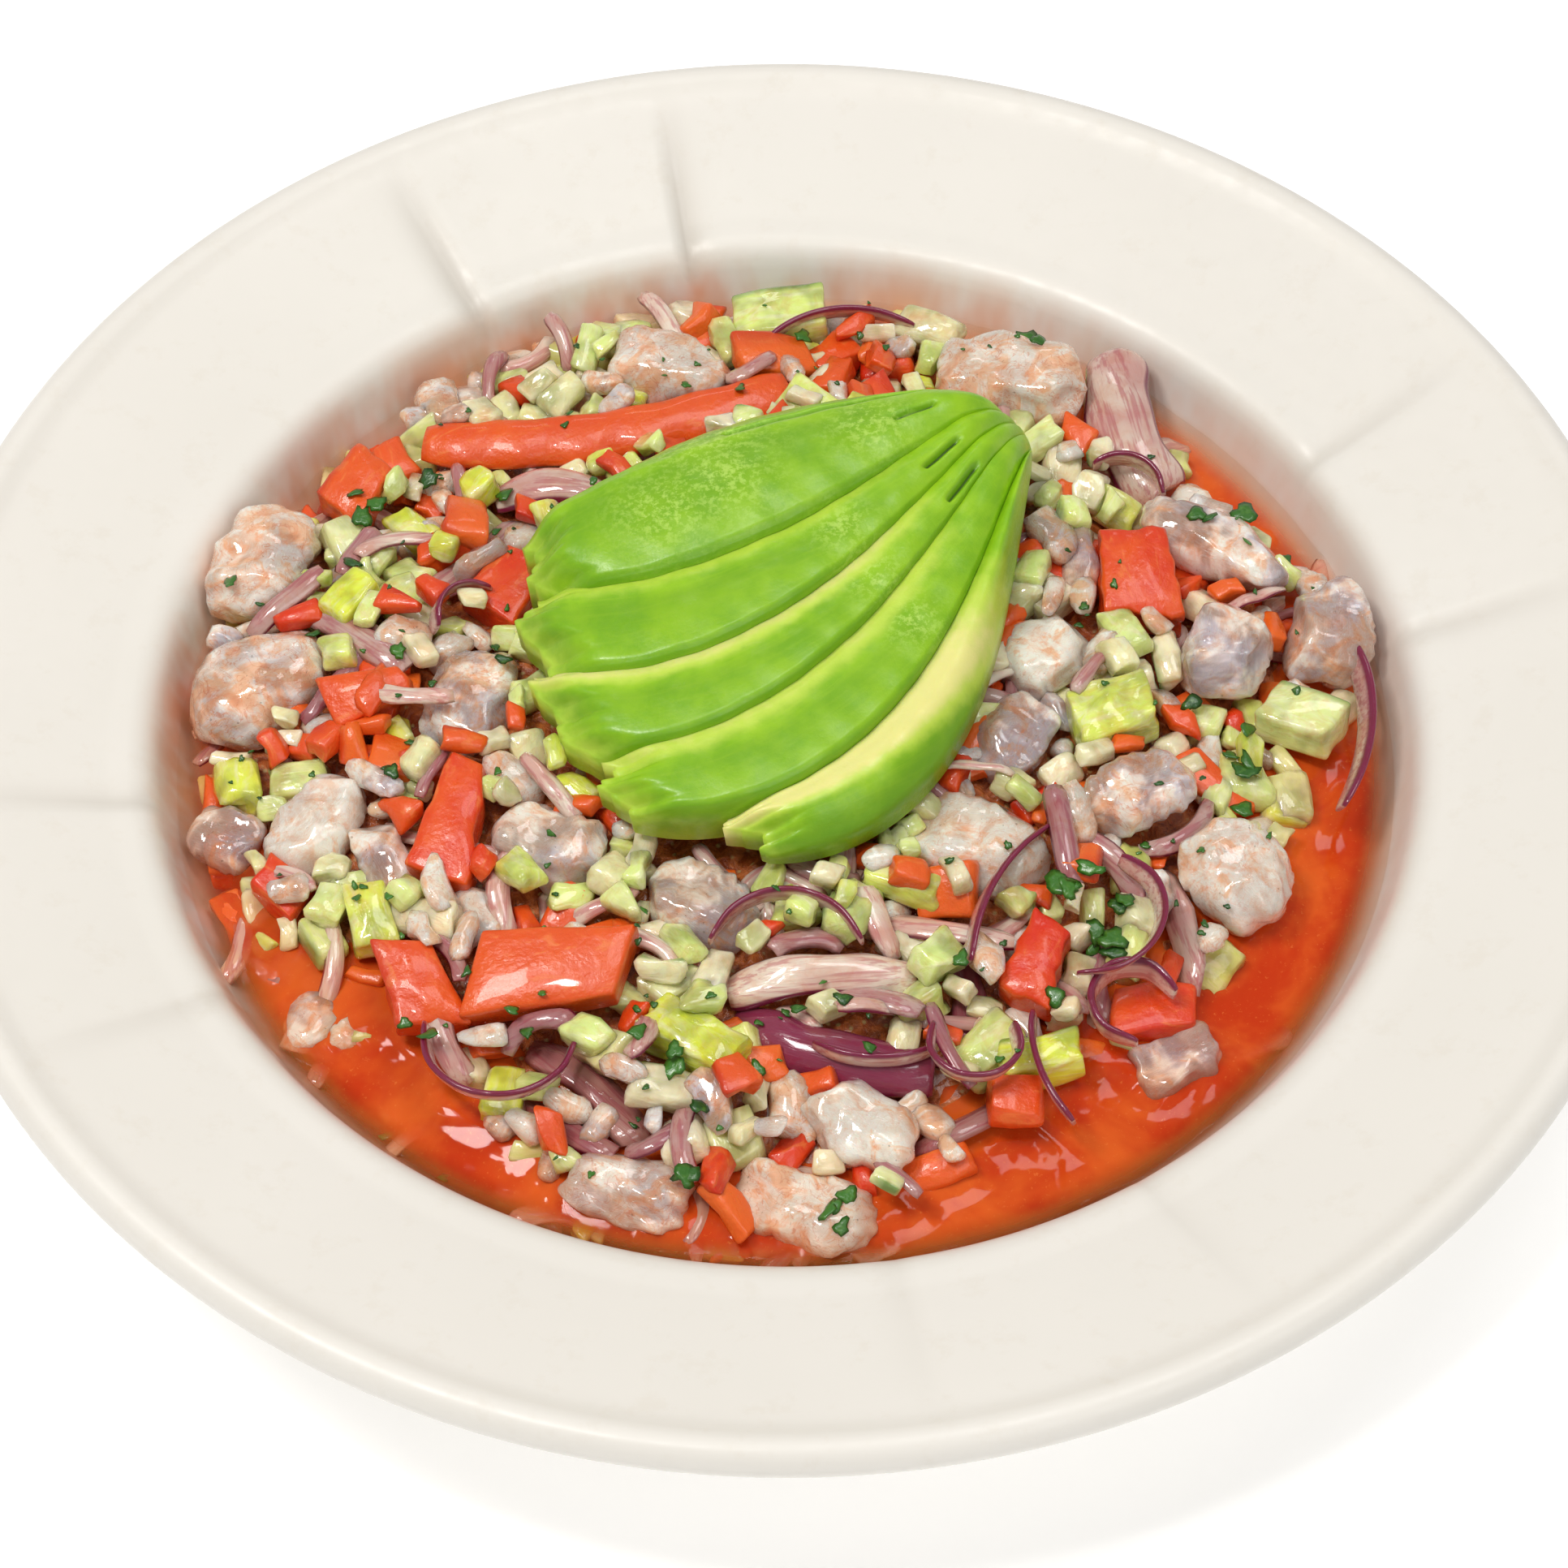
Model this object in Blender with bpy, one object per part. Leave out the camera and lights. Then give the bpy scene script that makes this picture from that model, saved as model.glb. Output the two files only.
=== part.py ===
"""Shrimp ceviche served in a wide-rimmed china pasta bowl.

Frame: metres, +Z up, the foot of the bowl stands on z = 0 with its axis on the origin.
Sizes below are in millimetres and are multiplied by MM when a mesh is made.
"""

import math

import bmesh
import bpy
import numpy as np

MM = 0.001
GAP = 0.3                    # clearance between neighbouring solids

# ---- bowl ---------------------------------------------------------------------------------
LIP_R = 146.0                # outermost radius of the rolled lip
LIP_TOP = 52.0               # highest point of the lip
LIP_BEAD = 3.4               # radius of the rolled bead
RIM_INNER_R = 109.0          # rim meets the shoulder here
RIM_INNER_Z = 40.9
SHOULDER = ((105.7, 37.6), (106.9, 39.7))
RIM_UNDER = ((137.5, 44.2), (110.6, 36.2))   # underside of the rim
FLOOR_Z = 8.0                # inside floor
FLOOR_R = 66.0
WELL_RUN = 40.0              # quarter-ellipse wall of the well: radial run and rise
WELL_RISE = 35.0
WELL_STEPS = (25.0, 48.0, 66.0)
WALL = 5.0                   # china thickness
FOOT_OUT, FOOT_IN, FOOT_RECESS = 70.0, 65.0, 3.2
AZIMUTHS = 48
CREASE_PAIRS = (19.5, 110.5, 201.5, 290.0)   # middle azimuth of each pair of radial creases
CREASE_SPREAD = 21.5
CREASE_HALF = 0.75           # half width in degrees
CREASE_DEPTH = 0.8
CREASE_CLEAR = 1.6           # other azimuth lines keep this many degrees off a crease
CREASE_START_R, CREASE_START_Z = 104.0, 36.5
CREASE_END_R = 138.0
LIP_START_R, LIP_START_Z = 138.6, 50.0       # top of the rim where the bead begins

# ---- broth and heap -----------------------------------------------------------------------
BROTH_Z = 29.5
HEAP_CAP = 43.9              # flat crown under the avocado
HEAP_EDGE_Z = 32.2           # height near the outline and in the middle, without the lumps
HEAP_CROWN_Z = 38.6
HEAP_FULLNESS = 3.2
HEAP_LEFT_AZIMUTH, HEAP_LEFT_RISE = 150.0, 1.6
HEAP_R, HEAP_R_MIN, HEAP_R_MAX = 91.0, 74.0, 99.0
# swellings of the outline: middle azimuth, half width in degrees, change of radius
HEAP_SWELLS = (
    (172.0, 42.0, 7.0), (95.0, 40.0, 7.0), (55.0, 16.0, 6.0), (13.0, 14.0, 9.0), (335.0, 30.0, -4.0),
    (305.0, 24.0, -8.0), (272.0, 14.0, 6.5), (222.0, 20.0, -7.0), (252.0, 12.0, 4.0), (36.0, 9.0, -3.0),
)
HEAP_SIDES = 50
HEAP_LIFT = 0.9              # how far the edge of the heap stands out of the broth
HEAP_RINGS = (0.22, 0.42, 0.56, 0.68, 0.78, 0.87, 0.94, 1.0)
BLOB_PITCH = 13.0            # spacing of the lumps of the heap
BLOB_R = 10.5
BLOB_RISE = 5.0
SEED = 11

# ---- avocado fan --------------------------------------------------------------------------
STEM_X, STEM_Y, STEM_R = 37.5, 48.0, 5.5
AVO_BOTTOM = 44.3
STEP = 2.4                   # how far each slice steps down from the one that overlaps it
# boundary lines from the back of the fan to the front:
# bearing on the stem cap, heading, turn, length, bend power, crest height
FAN = (
    (118.0, -206.0, 67.0, 86.0, 0.5, 58.0),
    (95.0, -176.0, 23.0, 86.0, 0.5, 62.5),
    (72.0, -140.0, -52.0, 91.0, 3.0, 62.0),
    (52.0, -128.0, -68.0, 102.0, 3.0, 60.5),
    (32.0, -120.0, -67.0, 107.0, 3.0, 59.0),
    (10.0, -108.0, -95.0, 117.0, 2.8, 56.5),
    (-15.0, -99.0, -82.0, 102.0, 3.0, 48.5),
)
# each slice: end on its back line, end on its front line, roundness of the end, crown, columns
SLICES = (
    (0.90, 0.82, 0.00, 0.8, 3),
    (1.00, 1.00, 0.02, 2.2, 5),
    (1.05, 1.00, 0.035, 1.6, 4),
    (1.04, 1.00, 0.03, 1.4, 4),
    (0.99, 1.00, 0.01, 1.2, 4),
    (0.86, 1.00, 0.00, 2.6, 6),
)
FAN_ROWS = (0.0, 0.025, 0.06, 0.12, 0.22, 0.34, 0.46, 0.58, 0.70, 0.81, 0.90, 0.965, 1.0)

# ---- larger pieces ------------------------------------------------------------------------
# name: x, y, z of the middle, azimuth of the long axis, its tilt, roll, length, width, height, bend, taper
SHRIMP = {
    "shrimp_01": (-90.0, 33.0, 37.5, 70, 10, 0, 23, 16.5, 13, 30, 0.15),
    "shrimp_02": (-88.5, 7.0, 36.5, 40, 6, 0, 26, 18, 13, 35, 0.20),
    "shrimp_03": (-93.0, -21.0, 31.5, 160, 0, 0, 13, 12, 8.5, 15, 0.20),
    "shrimp_04": (-77.5, -21.5, 36.0, 60, 8, 0, 20, 13, 9, 20, 0.25),
    "shrimp_05": (-66.2, -28.0, 35.5, 115, 5, 0, 14.5, 9.5, 9, 20, 0.20),
    "shrimp_06": (-52.5, 3.0, 38.0, 75, 3, 0, 21, 15, 11, 25, 0.20),
    "shrimp_07": (-38.5, -27.0, 37.8, 150, 3, 0, 20, 14, 11, 30, 0.20),
    "shrimp_08": (-13.0, -39.2, 37.8, 150, 3, 0, 19.5, 14.5, 11, 20, 0.10),
    "shrimp_09": (31.5, -27.5, 37.6, -15, 2, 0, 25, 18, 11.5, 15, 0.10),
    "shrimp_10": (39.0, -6.0, 38.2, 60, 0, 0, 17, 14, 11, 15, 0.10),
    "shrimp_11": (44.5, 12.0, 38.2, 30, 2, 0, 17, 14.5, 11, 20, 0.15),
    "shrimp_12": (75.0, 11.0, 41.0, 80, 0, 0, 17, 15, 14, 10, 0.10),
    "shrimp_13": (74.5, 35.0, 39.5, -38, 4, 0, 29, 12.5, 11, 40, 0.30),
    "shrimp_14": (94.0, 18.5, 38.0, 80, 4, 0, 21, 14.5, 11, 30, 0.20),
    "shrimp_15": (58.5, -18.0, 40.0, 25, 6, 0, 20, 12.5, 10, 25, 0.20),
    "shrimp_16": (74.0, -32.0, 37.0, 130, 8, 0, 19, 17, 12, 10, 0.05),
    "shrimp_17": (63.0, -64.0, 30.5, 30, 0, 0, 16, 11, 8, 15, 0.15),
    "shrimp_18": (12.0, -79.0, 35.0, 150, 8, 0, 19, 13, 10, 20, 0.10),
    "shrimp_19": (3.0, -92.5, 31.5, -25, 4, 0, 23, 14, 9, 15, 0.15),
    "shrimp_20": (-25.0, -89.0, 32.0, 170, 4, 0, 21, 12, 9, 20, 0.25),
    "shrimp_21": (40.5, 74.0, 39.5, -15, 6, 0, 28, 18, 14, 25, 0.15),
    "shrimp_22": (-21.0, 78.0, 38.5, -20, 6, 0, 22, 15, 12, 25, 0.15),
}
# name: x, y, z, azimuth, tilt, roll, length, width, thickness, taper, skew, crown
WEDGES = {
    "tomato_01": (-55.0, -24.5, 40.5, 78, 10, 0, 22, 11.5, 6.0, 0.45, 0.2, 0.8),
    "tomato_02": (-58.9, -55.0, 38.0, 110, 12, 0, 15.5, 12.0, 6.0, 0.25, 0.3, 0.8),
    "tomato_03": (-37.8, -54.0, 41.0, 2, 6, 14, 25, 14.5, 6.5, 0.20, 0.30, 1.0),
    "tomato_04": (-48.0, 26.0, 39.0, 60, 4, 0, 13, 11.5, 7.0, 0.15, 0.1, 0.8),
    "tomato_05": (60.5, 26.5, 41.5, 95, 10, 0, 17, 14.0, 8.0, 0.20, 0.1, 1.2),
    "tomato_06": (-75.5, 50.0, 38.0, 60, 8, 0, 13, 10.5, 7.0, 0.20, 0.2, 0.8),
    "tomato_07": (40.5, -50.5, 38.5, 70, 8, 0, 15, 9.5, 6.0, 0.30, 0.2, 0.8),
    "cucumber_01": (-1.0, 92.5, 36.5, 10, 4, 0, 17, 11.0, 7.0, 0.10, 0.1, 0.5),
    "cucumber_02": (55.0, -2.0, 40.5, 20, 6, 0, 14, 11.5, 8.0, 0.15, 0.1, 1.0),
    "cucumber_03": (87.0, -1.0, 38.0, -30, 8, 0, 13, 9.5, 7.0, 0.10, 0.1, 0.6),
    "cucumber_04": (-14.5, -65.5, 39.0, -35, 6, 0, 17, 8.0, 7.0, 0.05, 0.1, 0.8),
    "cucumber_05": (40.5, -67.0, 35.5, 12, 4, 0, 13, 7.0, 6.5, 0.05, 0.0, 0.5),
    "cucumber_06": (-67.5, -40.8, 36.5, 105, 10, 0, 11.5, 7.5, 6.5, 0.10, 0.1, 0.6),
}
# name: x, y, z, azimuth, tilt, roll, length, width, thickness, bend in plan, arch upwards, curl across
PETALS = {
    "tomato_strip": (-31.0, 61.5, 40.5, 10, 2, 15, 67, 9.0, 5.0, -16, 6, 0.0),
    "onion_01": (60.5, 65.0, 40.0, -78, -7, 12, 32, 12.0, 3.2, -28, 16, 0.9),
    "onion_02": (-40.5, 49.0, 41.5, -6, 4, -15, 22, 8.5, 2.6, 20, 25, 0.8),
    "onion_03": (5.5, -53.5, 40.5, 4, 2, 10, 31, 7.0, 3.0, 14, 18, 0.6),
    "onion_04": (6.5, -67.0, 37.5, -19, 3, 20, 34, 9.0, 2.8, -12, 16, 0.9),
}


def clear_scene():
    for ob in list(bpy.data.objects):
        bpy.data.objects.remove(ob, do_unlink=True)


def material(name, colour, roughness):
    mat = bpy.data.materials.new(name)
    mat.use_nodes = True
    shader = mat.node_tree.nodes["Principled BSDF"]
    shader.inputs["Base Color"].default_value = (*colour, 1.0)
    shader.inputs["Roughness"].default_value = roughness
    mat.diffuse_color = (*colour, 1.0)
    return mat


def solid(name, verts, faces, mat):
    mesh = bpy.data.meshes.new(name)
    mesh.from_pydata([tuple(float(c) * MM for c in v) for v in verts], [], [list(f) for f in faces])
    mesh.validate()
    mesh.materials.append(mat)
    for poly in mesh.polygons:
        poly.use_smooth = True
    ob = bpy.data.objects.new(name, mesh)
    bpy.context.scene.collection.objects.link(ob)
    return ob


# ---- polar helpers ------------------------------------------------------------------------
def lathe(profile, azimuths, shift):
    """Closed body from (r, z) points that start and end on the axis; shift may move a point of a ring."""
    verts, faces = [(0.0, 0.0, profile[0][1])], []
    n = len(azimuths)
    for r, z in profile[1:-1]:
        for a in azimuths:
            rr, zz = shift(r, z, a)
            verts.append((rr * math.cos(a), rr * math.sin(a), zz))
    verts.append((0.0, 0.0, profile[-1][1]))
    rings = len(profile) - 2
    for i in range(n):
        j = (i + 1) % n
        faces.append((0, 1 + i, 1 + j))
        for k in range(rings - 1):
            a, b = 1 + k * n, 1 + (k + 1) * n
            faces.append((a + i, b + i, b + j, a + j))
        last = 1 + (rings - 1) * n
        faces.append((last + i, len(verts) - 1, last + j))
    return verts, faces


def well_normal(phi):
    tr, tz = WELL_RUN * math.cos(phi), WELL_RISE * math.sin(phi)
    length = math.hypot(tr, tz)
    return tz / length, tr / length


def well_point(phi_deg, offset):
    """Point of the wall pushed outwards (offset > 0) or inwards (offset < 0)."""
    phi = math.radians(phi_deg)
    nr, nz = well_normal(phi)
    return (FLOOR_R + WELL_RUN * math.sin(phi) + nr * offset,
            FLOOR_Z + WELL_RISE * (1.0 - math.cos(phi)) - nz * offset)


def well_z(r, gap):
    """Height at radius r that stays a gap clear of the faceted well surface."""
    points = [(0.0, FLOOR_Z), (FLOOR_R, FLOOR_Z)] + [well_point(p, 0.0) for p in WELL_STEPS] + [SHOULDER[0]]
    slope = min(max((r - FLOOR_R) / WELL_RUN, 0.0), 0.97)
    facet = r * (1.0 - math.cos(math.pi / AZIMUTHS))
    surface = np.interp(r + slope * gap + facet, [p[0] for p in points], [p[1] for p in points])
    return float(surface) + gap * math.sqrt(1.0 - slope ** 2)


def well_r(z, gap):
    """Radius at height z that stays a gap clear of the faceted well surface."""
    points = [(FLOOR_R, FLOOR_Z)] + [well_point(p, 0.0) for p in WELL_STEPS] + [SHOULDER[0]]
    r = float(np.interp(z, [p[1] for p in points], [p[0] for p in points]))
    return r * math.cos(math.pi / AZIMUTHS) - gap * 1.15


# ---- bowl ---------------------------------------------------------------------------------
def crease_lines():
    out = []
    for mid in CREASE_PAIRS:
        out += [mid - CREASE_SPREAD / 2, mid + CREASE_SPREAD / 2]
    return out


def build_bowl(mat):
    creases = crease_lines()
    lines = [360.0 * i / AZIMUTHS for i in range(AZIMUTHS)]
    keep = [a for a in lines
            if a % 90 == 0 or min(abs((a - c + 180) % 360 - 180) for c in creases) > CREASE_CLEAR]
    for c in creases:
        keep += [(c - CREASE_HALF) % 360, c % 360, (c + CREASE_HALF) % 360]
    azimuths = [math.radians(a) for a in sorted(keep)]
    centre_r, centre_z = LIP_R - LIP_BEAD, LIP_TOP - LIP_BEAD
    profile = [(0.0, FLOOR_Z), (FLOOR_R, FLOOR_Z)]
    profile += [well_point(p, 0.0) for p in WELL_STEPS]
    profile += list(SHOULDER) + [(RIM_INNER_R, RIM_INNER_Z), (LIP_START_R, LIP_START_Z)]
    for a in (135, 90, 40, 0, -60):
        profile.append((centre_r + LIP_BEAD * math.cos(math.radians(a)),
                        centre_z + LIP_BEAD * math.sin(math.radians(a))))
    profile += list(RIM_UNDER)
    profile += [well_point(p, WALL) for p in (58.0, 30.0)]
    profile += [(FOOT_OUT + 1.8, 3.6), (FOOT_OUT, 0.0), (FOOT_IN, 0.0)]
    profile += [(FOOT_IN - 1.0, FOOT_RECESS), (0.0, FOOT_RECESS)]

    def shift(r, z, a):
        if z < CREASE_START_Z or not CREASE_START_R <= r <= CREASE_END_R:
            return r, z
        off = min(abs((math.degrees(a) - c + 180) % 360 - 180) for c in creases)
        if off > CREASE_HALF * 0.5:
            return r, z
        depth = CREASE_DEPTH * (CREASE_END_R - r) / (CREASE_END_R - RIM_INNER_R)
        return r + 0.35 * min(depth, CREASE_DEPTH), z - min(depth, CREASE_DEPTH)

    verts, faces = lathe(profile, azimuths, shift)
    return solid("bowl", verts, [f[::-1] for f in faces], mat)


# ---- heap and broth -----------------------------------------------------------------------
def heap_outline(a):
    """Outline radius of the heap: it fills the well at the back and left, with broth at the front right."""
    d = math.degrees(a) % 360
    r = HEAP_R
    for mid, width, change in HEAP_SWELLS:
        off = (d - mid + 180) % 360 - 180
        r += change * math.exp(-(off / width) ** 2)
    r += 1.1 * math.sin(a * 9 + 0.7) + 0.8 * math.sin(a * 17 + 2.0)
    return min(max(r, HEAP_R_MIN), HEAP_R_MAX)


def blobs():
    rng = np.random.RandomState(SEED)
    out = []
    rows = int(230 / (BLOB_PITCH * 0.87))
    for j in range(rows):
        for i in range(18):
            x = (i - 8.5 + 0.5 * (j % 2)) * BLOB_PITCH + rng.uniform(-3, 3)
            y = (j - rows / 2) * BLOB_PITCH * 0.87 + rng.uniform(-3, 3)
            out.append((x, y, BLOB_R * rng.uniform(0.8, 1.2), BLOB_RISE * rng.uniform(0.4, 1.2)))
    return np.array(out)


BLOBS = blobs()


def heap_height(x, y):
    """Top of the heap: a low crown with lumps the size of the diced pieces."""
    r, a = math.hypot(x, y), math.atan2(y, x)
    edge = heap_outline(a)
    f = min(r / edge, 1.0)
    left = max(0.0, math.cos(a - math.radians(HEAP_LEFT_AZIMUTH)))
    base = HEAP_EDGE_Z + HEAP_LEFT_RISE * left + (HEAP_CROWN_Z - HEAP_EDGE_Z) * (1.0 - f ** HEAP_FULLNESS)
    d2 = (BLOBS[:, 0] - x) ** 2 + (BLOBS[:, 1] - y) ** 2
    bump = np.sqrt(np.clip(1.0 - d2 / BLOBS[:, 2] ** 2, 0.0, 1.0)) * BLOBS[:, 3]
    return min(base + float(bump.max()), HEAP_CAP)


def build_heap(mat):
    n = HEAP_SIDES
    angles = [2 * math.pi * i / n for i in range(n)]
    verts, faces = [(0.0, 0.0, HEAP_CAP)], []
    for f in HEAP_RINGS:
        for a in angles:
            r = heap_outline(a) * f
            x, y = r * math.cos(a), r * math.sin(a)
            z = heap_height(x, y) if f < 1.0 else BROTH_Z + HEAP_LIFT
            verts.append((x, y, z))
    for a in angles:
        r = heap_outline(a)
        verts.append((r * math.cos(a), r * math.sin(a), well_z(r, GAP)))
    for a in angles:
        r = FLOOR_R - 2.0
        verts.append((r * math.cos(a), r * math.sin(a), FLOOR_Z + GAP))
    rings = len(HEAP_RINGS) + 2
    # ring of the well wall half way, so that the chord of the curved wall stays inside it
    mids = []
    for a in angles:
        r = 0.5 * (heap_outline(a) + FLOOR_R)
        mids.append((r * math.cos(a), r * math.sin(a), well_z(r, GAP)))
    base = 1 + (rings - 1) * n
    verts[base:base] = mids
    rings += 1
    verts.append((0.0, 0.0, FLOOR_Z + GAP))
    for i in range(n):
        j = (i + 1) % n
        faces.append((0, 1 + i, 1 + j))
        for k in range(rings - 1):
            a, b = 1 + k * n, 1 + (k + 1) * n
            faces.append((a + i, b + i, b + j, a + j))
        last = 1 + (rings - 1) * n
        faces.append((last + i, len(verts) - 1, last + j))
    return solid("ceviche_heap", verts, faces, mat)


def build_broth(mat):
    """Ring of broth between the heap and the wall of the well."""
    n = HEAP_SIDES
    verts, faces = [], []
    top_r = well_r(BROTH_Z, GAP)
    for i in range(n):
        a = 2 * math.pi * i / n
        inner = heap_outline(a) + GAP + 0.25
        low = well_z(inner, GAP)
        mid_r = 0.5 * (inner + top_r)
        for r, z in ((inner, BROTH_Z), (inner, low), (mid_r, well_z(mid_r, GAP)), (top_r, BROTH_Z)):
            verts.append((r * math.cos(a), r * math.sin(a), z))
    for i in range(n):
        j = (i + 1) % n
        for k in range(4):
            m = (k + 1) % 4
            faces.append((i * 4 + k, i * 4 + m, j * 4 + m, j * 4 + k))
    return solid("broth", verts, faces, mat)


# ---- avocado fan --------------------------------------------------------------------------
def fan_point(line, u):
    """Point at fraction u of a boundary line, which leaves the stem cap on a heading and turns."""
    bearing, heading, turn, length, power, _ = FAN[line]
    b = math.radians(bearing)
    x, y = STEM_X + STEM_R * math.cos(b), STEM_Y + STEM_R * math.sin(b)
    steps = 40
    for s in range(steps):
        t = u * (s + 0.5) / steps
        h = math.radians(heading + turn * t ** power)
        x += math.cos(h) * length * u / steps
        y += math.sin(h) * length * u / steps
    return x, y


def rise(u):
    """Thickness along the fan as a share of its crest: round nose at the stem, thinner at the blunt end."""
    nose = math.sqrt(max(0.0, 1.0 - (1.0 - min(u / 0.16, 1.0)) ** 2))
    tail = 1.0 - 0.30 * max(0.0, (u - 0.55) / 0.45) ** 1.8
    return (0.22 + 0.78 * nose) * tail


def fan_height(k, v, u):
    crown = SLICES[k][3]
    step = STEP * min(1.0, max(0.0, (u - 0.16) / 0.34))
    back = FAN[k][5] - (step if k else 0.0)
    front = FAN[k + 1][5]
    if k == len(SLICES) - 1:
        side = max(0.0, (v - 0.45) / 0.55)
        z = back + crown * math.sin(math.pi * min(v / 0.9, 1.0)) * 0.6
        z += (front - back) * (1.0 - math.sqrt(1.0 - 0.98 * side ** 2))
    elif k == 0:
        z = back + (front - back) * math.sin(0.5 * math.pi * v)
    else:
        z = back + (front - back) * v + crown * math.sin(math.pi * (0.08 + 0.84 * v))
    return AVO_BOTTOM + 2.0 + (z - AVO_BOTTOM - 2.0) * rise(u)


def build_avocado(mat):
    columns = []
    for k, (end_back, end_front, blunt, _, count) in enumerate(SLICES):
        for c in range(count):
            v = c / (count - 1)
            end = end_back + (end_front - end_back) * v + blunt * 4 * v * (1 - v)
            points = []
            for u in FAN_ROWS:
                ue = u * end
                ax, ay = fan_point(k, ue)
                bx, by = fan_point(k + 1, ue)
                x, y = ax + (bx - ax) * v, ay + (by - ay) * v
                z = fan_height(k, v, ue)
                if u > 0.95:
                    z = AVO_BOTTOM + 2.0 + (z - AVO_BOTTOM - 2.0) * (1.0 - 0.28 * ((u - 0.95) / 0.05) ** 2)
                points.append([x, y, z])
            columns.append(points)
    # neighbouring slices share a boundary line: a hair between their columns gives the step a face
    start = 0
    for k in range(len(SLICES) - 1):
        start += SLICES[k][4]
        right, left = columns[start - 1], columns[start]
        for a, b in zip(right, left):
            dx = columns[start][4][0] - columns[start + 1][4][0]
            dy = columns[start][4][1] - columns[start + 1][4][1]
            length = math.hypot(dx, dy) or 1.0
            b[0] -= 0.35 * dx / length
            b[1] -= 0.35 * dy / length
    rows, cols = len(FAN_ROWS), len(columns)
    verts = [tuple(p) for col in columns for p in col]
    faces = []
    for c in range(cols - 1):
        for r in range(rows - 1):
            a = c * rows + r
            faces.append((a, a + 1, a + rows + 1, a + rows))
    loop = [c * rows for c in range(cols)]
    loop += [(cols - 1) * rows + r for r in range(1, rows)]
    loop += [c * rows + rows - 1 for c in range(cols - 2, -1, -1)]
    loop += [r for r in range(rows - 2, 0, -1)]
    cx = sum(verts[i][0] for i in loop) / len(loop)
    cy = sum(verts[i][1] for i in loop) / len(loop)
    base = len(verts)
    for i in loop:
        x, y, z = verts[i]
        verts.append((cx + (x - cx) * 0.985, cy + (y - cy) * 0.985, AVO_BOTTOM))
    n = len(loop)
    for i in range(n):
        j = (i + 1) % n
        faces.append((loop[i], loop[j], base + j, base + i))
    faces.append(tuple(base + i for i in range(n)))
    return solid("avocado_fan", verts, faces, mat)


# ---- loose pieces -------------------------------------------------------------------------
def placed(points, x, y, z, azimuth, tilt, roll):
    a, t, r = (math.radians(v) for v in (azimuth, tilt, roll))
    out = []
    for px, py, pz in points:
        py, pz = py * math.cos(r) - pz * math.sin(r), py * math.sin(r) + pz * math.cos(r)
        px, pz = px * math.cos(t) - pz * math.sin(t), px * math.sin(t) + pz * math.cos(t)
        px, py = px * math.cos(a) - py * math.sin(a), px * math.sin(a) + py * math.cos(a)
        out.append((px + x, py + y, pz + z))
    return out


def shrimp_body(length, width, height, bend, taper, grow=0.0, sides=8,
                rings=((0.09, 0.68), (0.36, 0.99), (0.67, 0.97), (0.92, 0.62))):
    """Bent, slightly flattened barrel: a cut length of peeled shrimp tail."""
    total = math.radians(bend)
    pts, faces = [], []

    def spine(t):
        rad = length / total
        phi = (t - 0.5) * (length + 2 * grow) / rad
        middle = 0.5 * rad * (1.0 - math.cos(0.5 * total))
        return rad * math.sin(phi), rad * (math.cos(phi) - 1.0) + middle, -phi

    x, y, h = spine(0.0)
    pts.append((x, y, 0.0))
    for t, share in rings:
        x, y, h = spine(t)
        share *= 1.0 - taper * (t - 0.5)
        for i in range(sides):
            a = 2 * math.pi * i / sides
            c, s = math.cos(a), math.sin(a)
            w = (0.5 * width * share + grow) * math.copysign(abs(c) ** 0.85, c)
            v = (0.5 * height * share + grow) * math.copysign(abs(s) ** 0.85, s)
            pts.append((x - w * math.sin(h), y + w * math.cos(h), v))
    x, y, h = spine(1.0)
    pts.append((x, y, 0.0))
    for i in range(sides):
        j = (i + 1) % sides
        faces.append((0, 1 + j, 1 + i))
        for k in range(len(rings) - 1):
            a, b = 1 + k * sides, 1 + (k + 1) * sides
            faces.append((a + i, a + j, b + j, b + i))
        last = 1 + (len(rings) - 1) * sides
        faces.append((last + i, last + j, len(pts) - 1))
    return pts, faces


def wedge_body(length, width, thick, taper, skew, crown):
    """Diced piece: four-cornered slab with clipped corners and a slightly crowned top."""
    hl, hw = 0.5 * length, 0.5 * width
    corners = []
    for sx, sy in ((-1, -1), (1, -1), (1, 1), (-1, 1)):
        side = 1.0 - taper * (0.5 + 0.5 * sx)
        corners.append((sx * hl + skew * hw * sy, sy * hw * side))
    outline = []
    for i in range(4):
        p, before, after = corners[i], corners[i - 1], corners[(i + 1) % 4]
        for q in (before, after):
            outline.append((p[0] + 0.16 * (q[0] - p[0]), p[1] + 0.16 * (q[1] - p[1])))
    n = len(outline)

    def ring(shrink, z):
        out = []
        for x, y in outline:
            d = math.hypot(x, y) or 1.0
            k = (d - shrink) / d
            out.append((x * k, y * k, z))
        return out

    half = 0.5 * thick
    pts = ring(0.8, -half) + ring(0.0, -half * 0.2) + ring(0.7, half)
    pts.append((0.0, 0.0, half + crown))
    faces = [tuple(range(n - 1, -1, -1))]
    for k in range(2):
        for i in range(n):
            j = (i + 1) % n
            faces.append((k * n + i, k * n + j, (k + 1) * n + j, (k + 1) * n + i))
    for i in range(n):
        faces.append((2 * n + i, 2 * n + (i + 1) % n, 3 * n))
    return pts, faces


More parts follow.
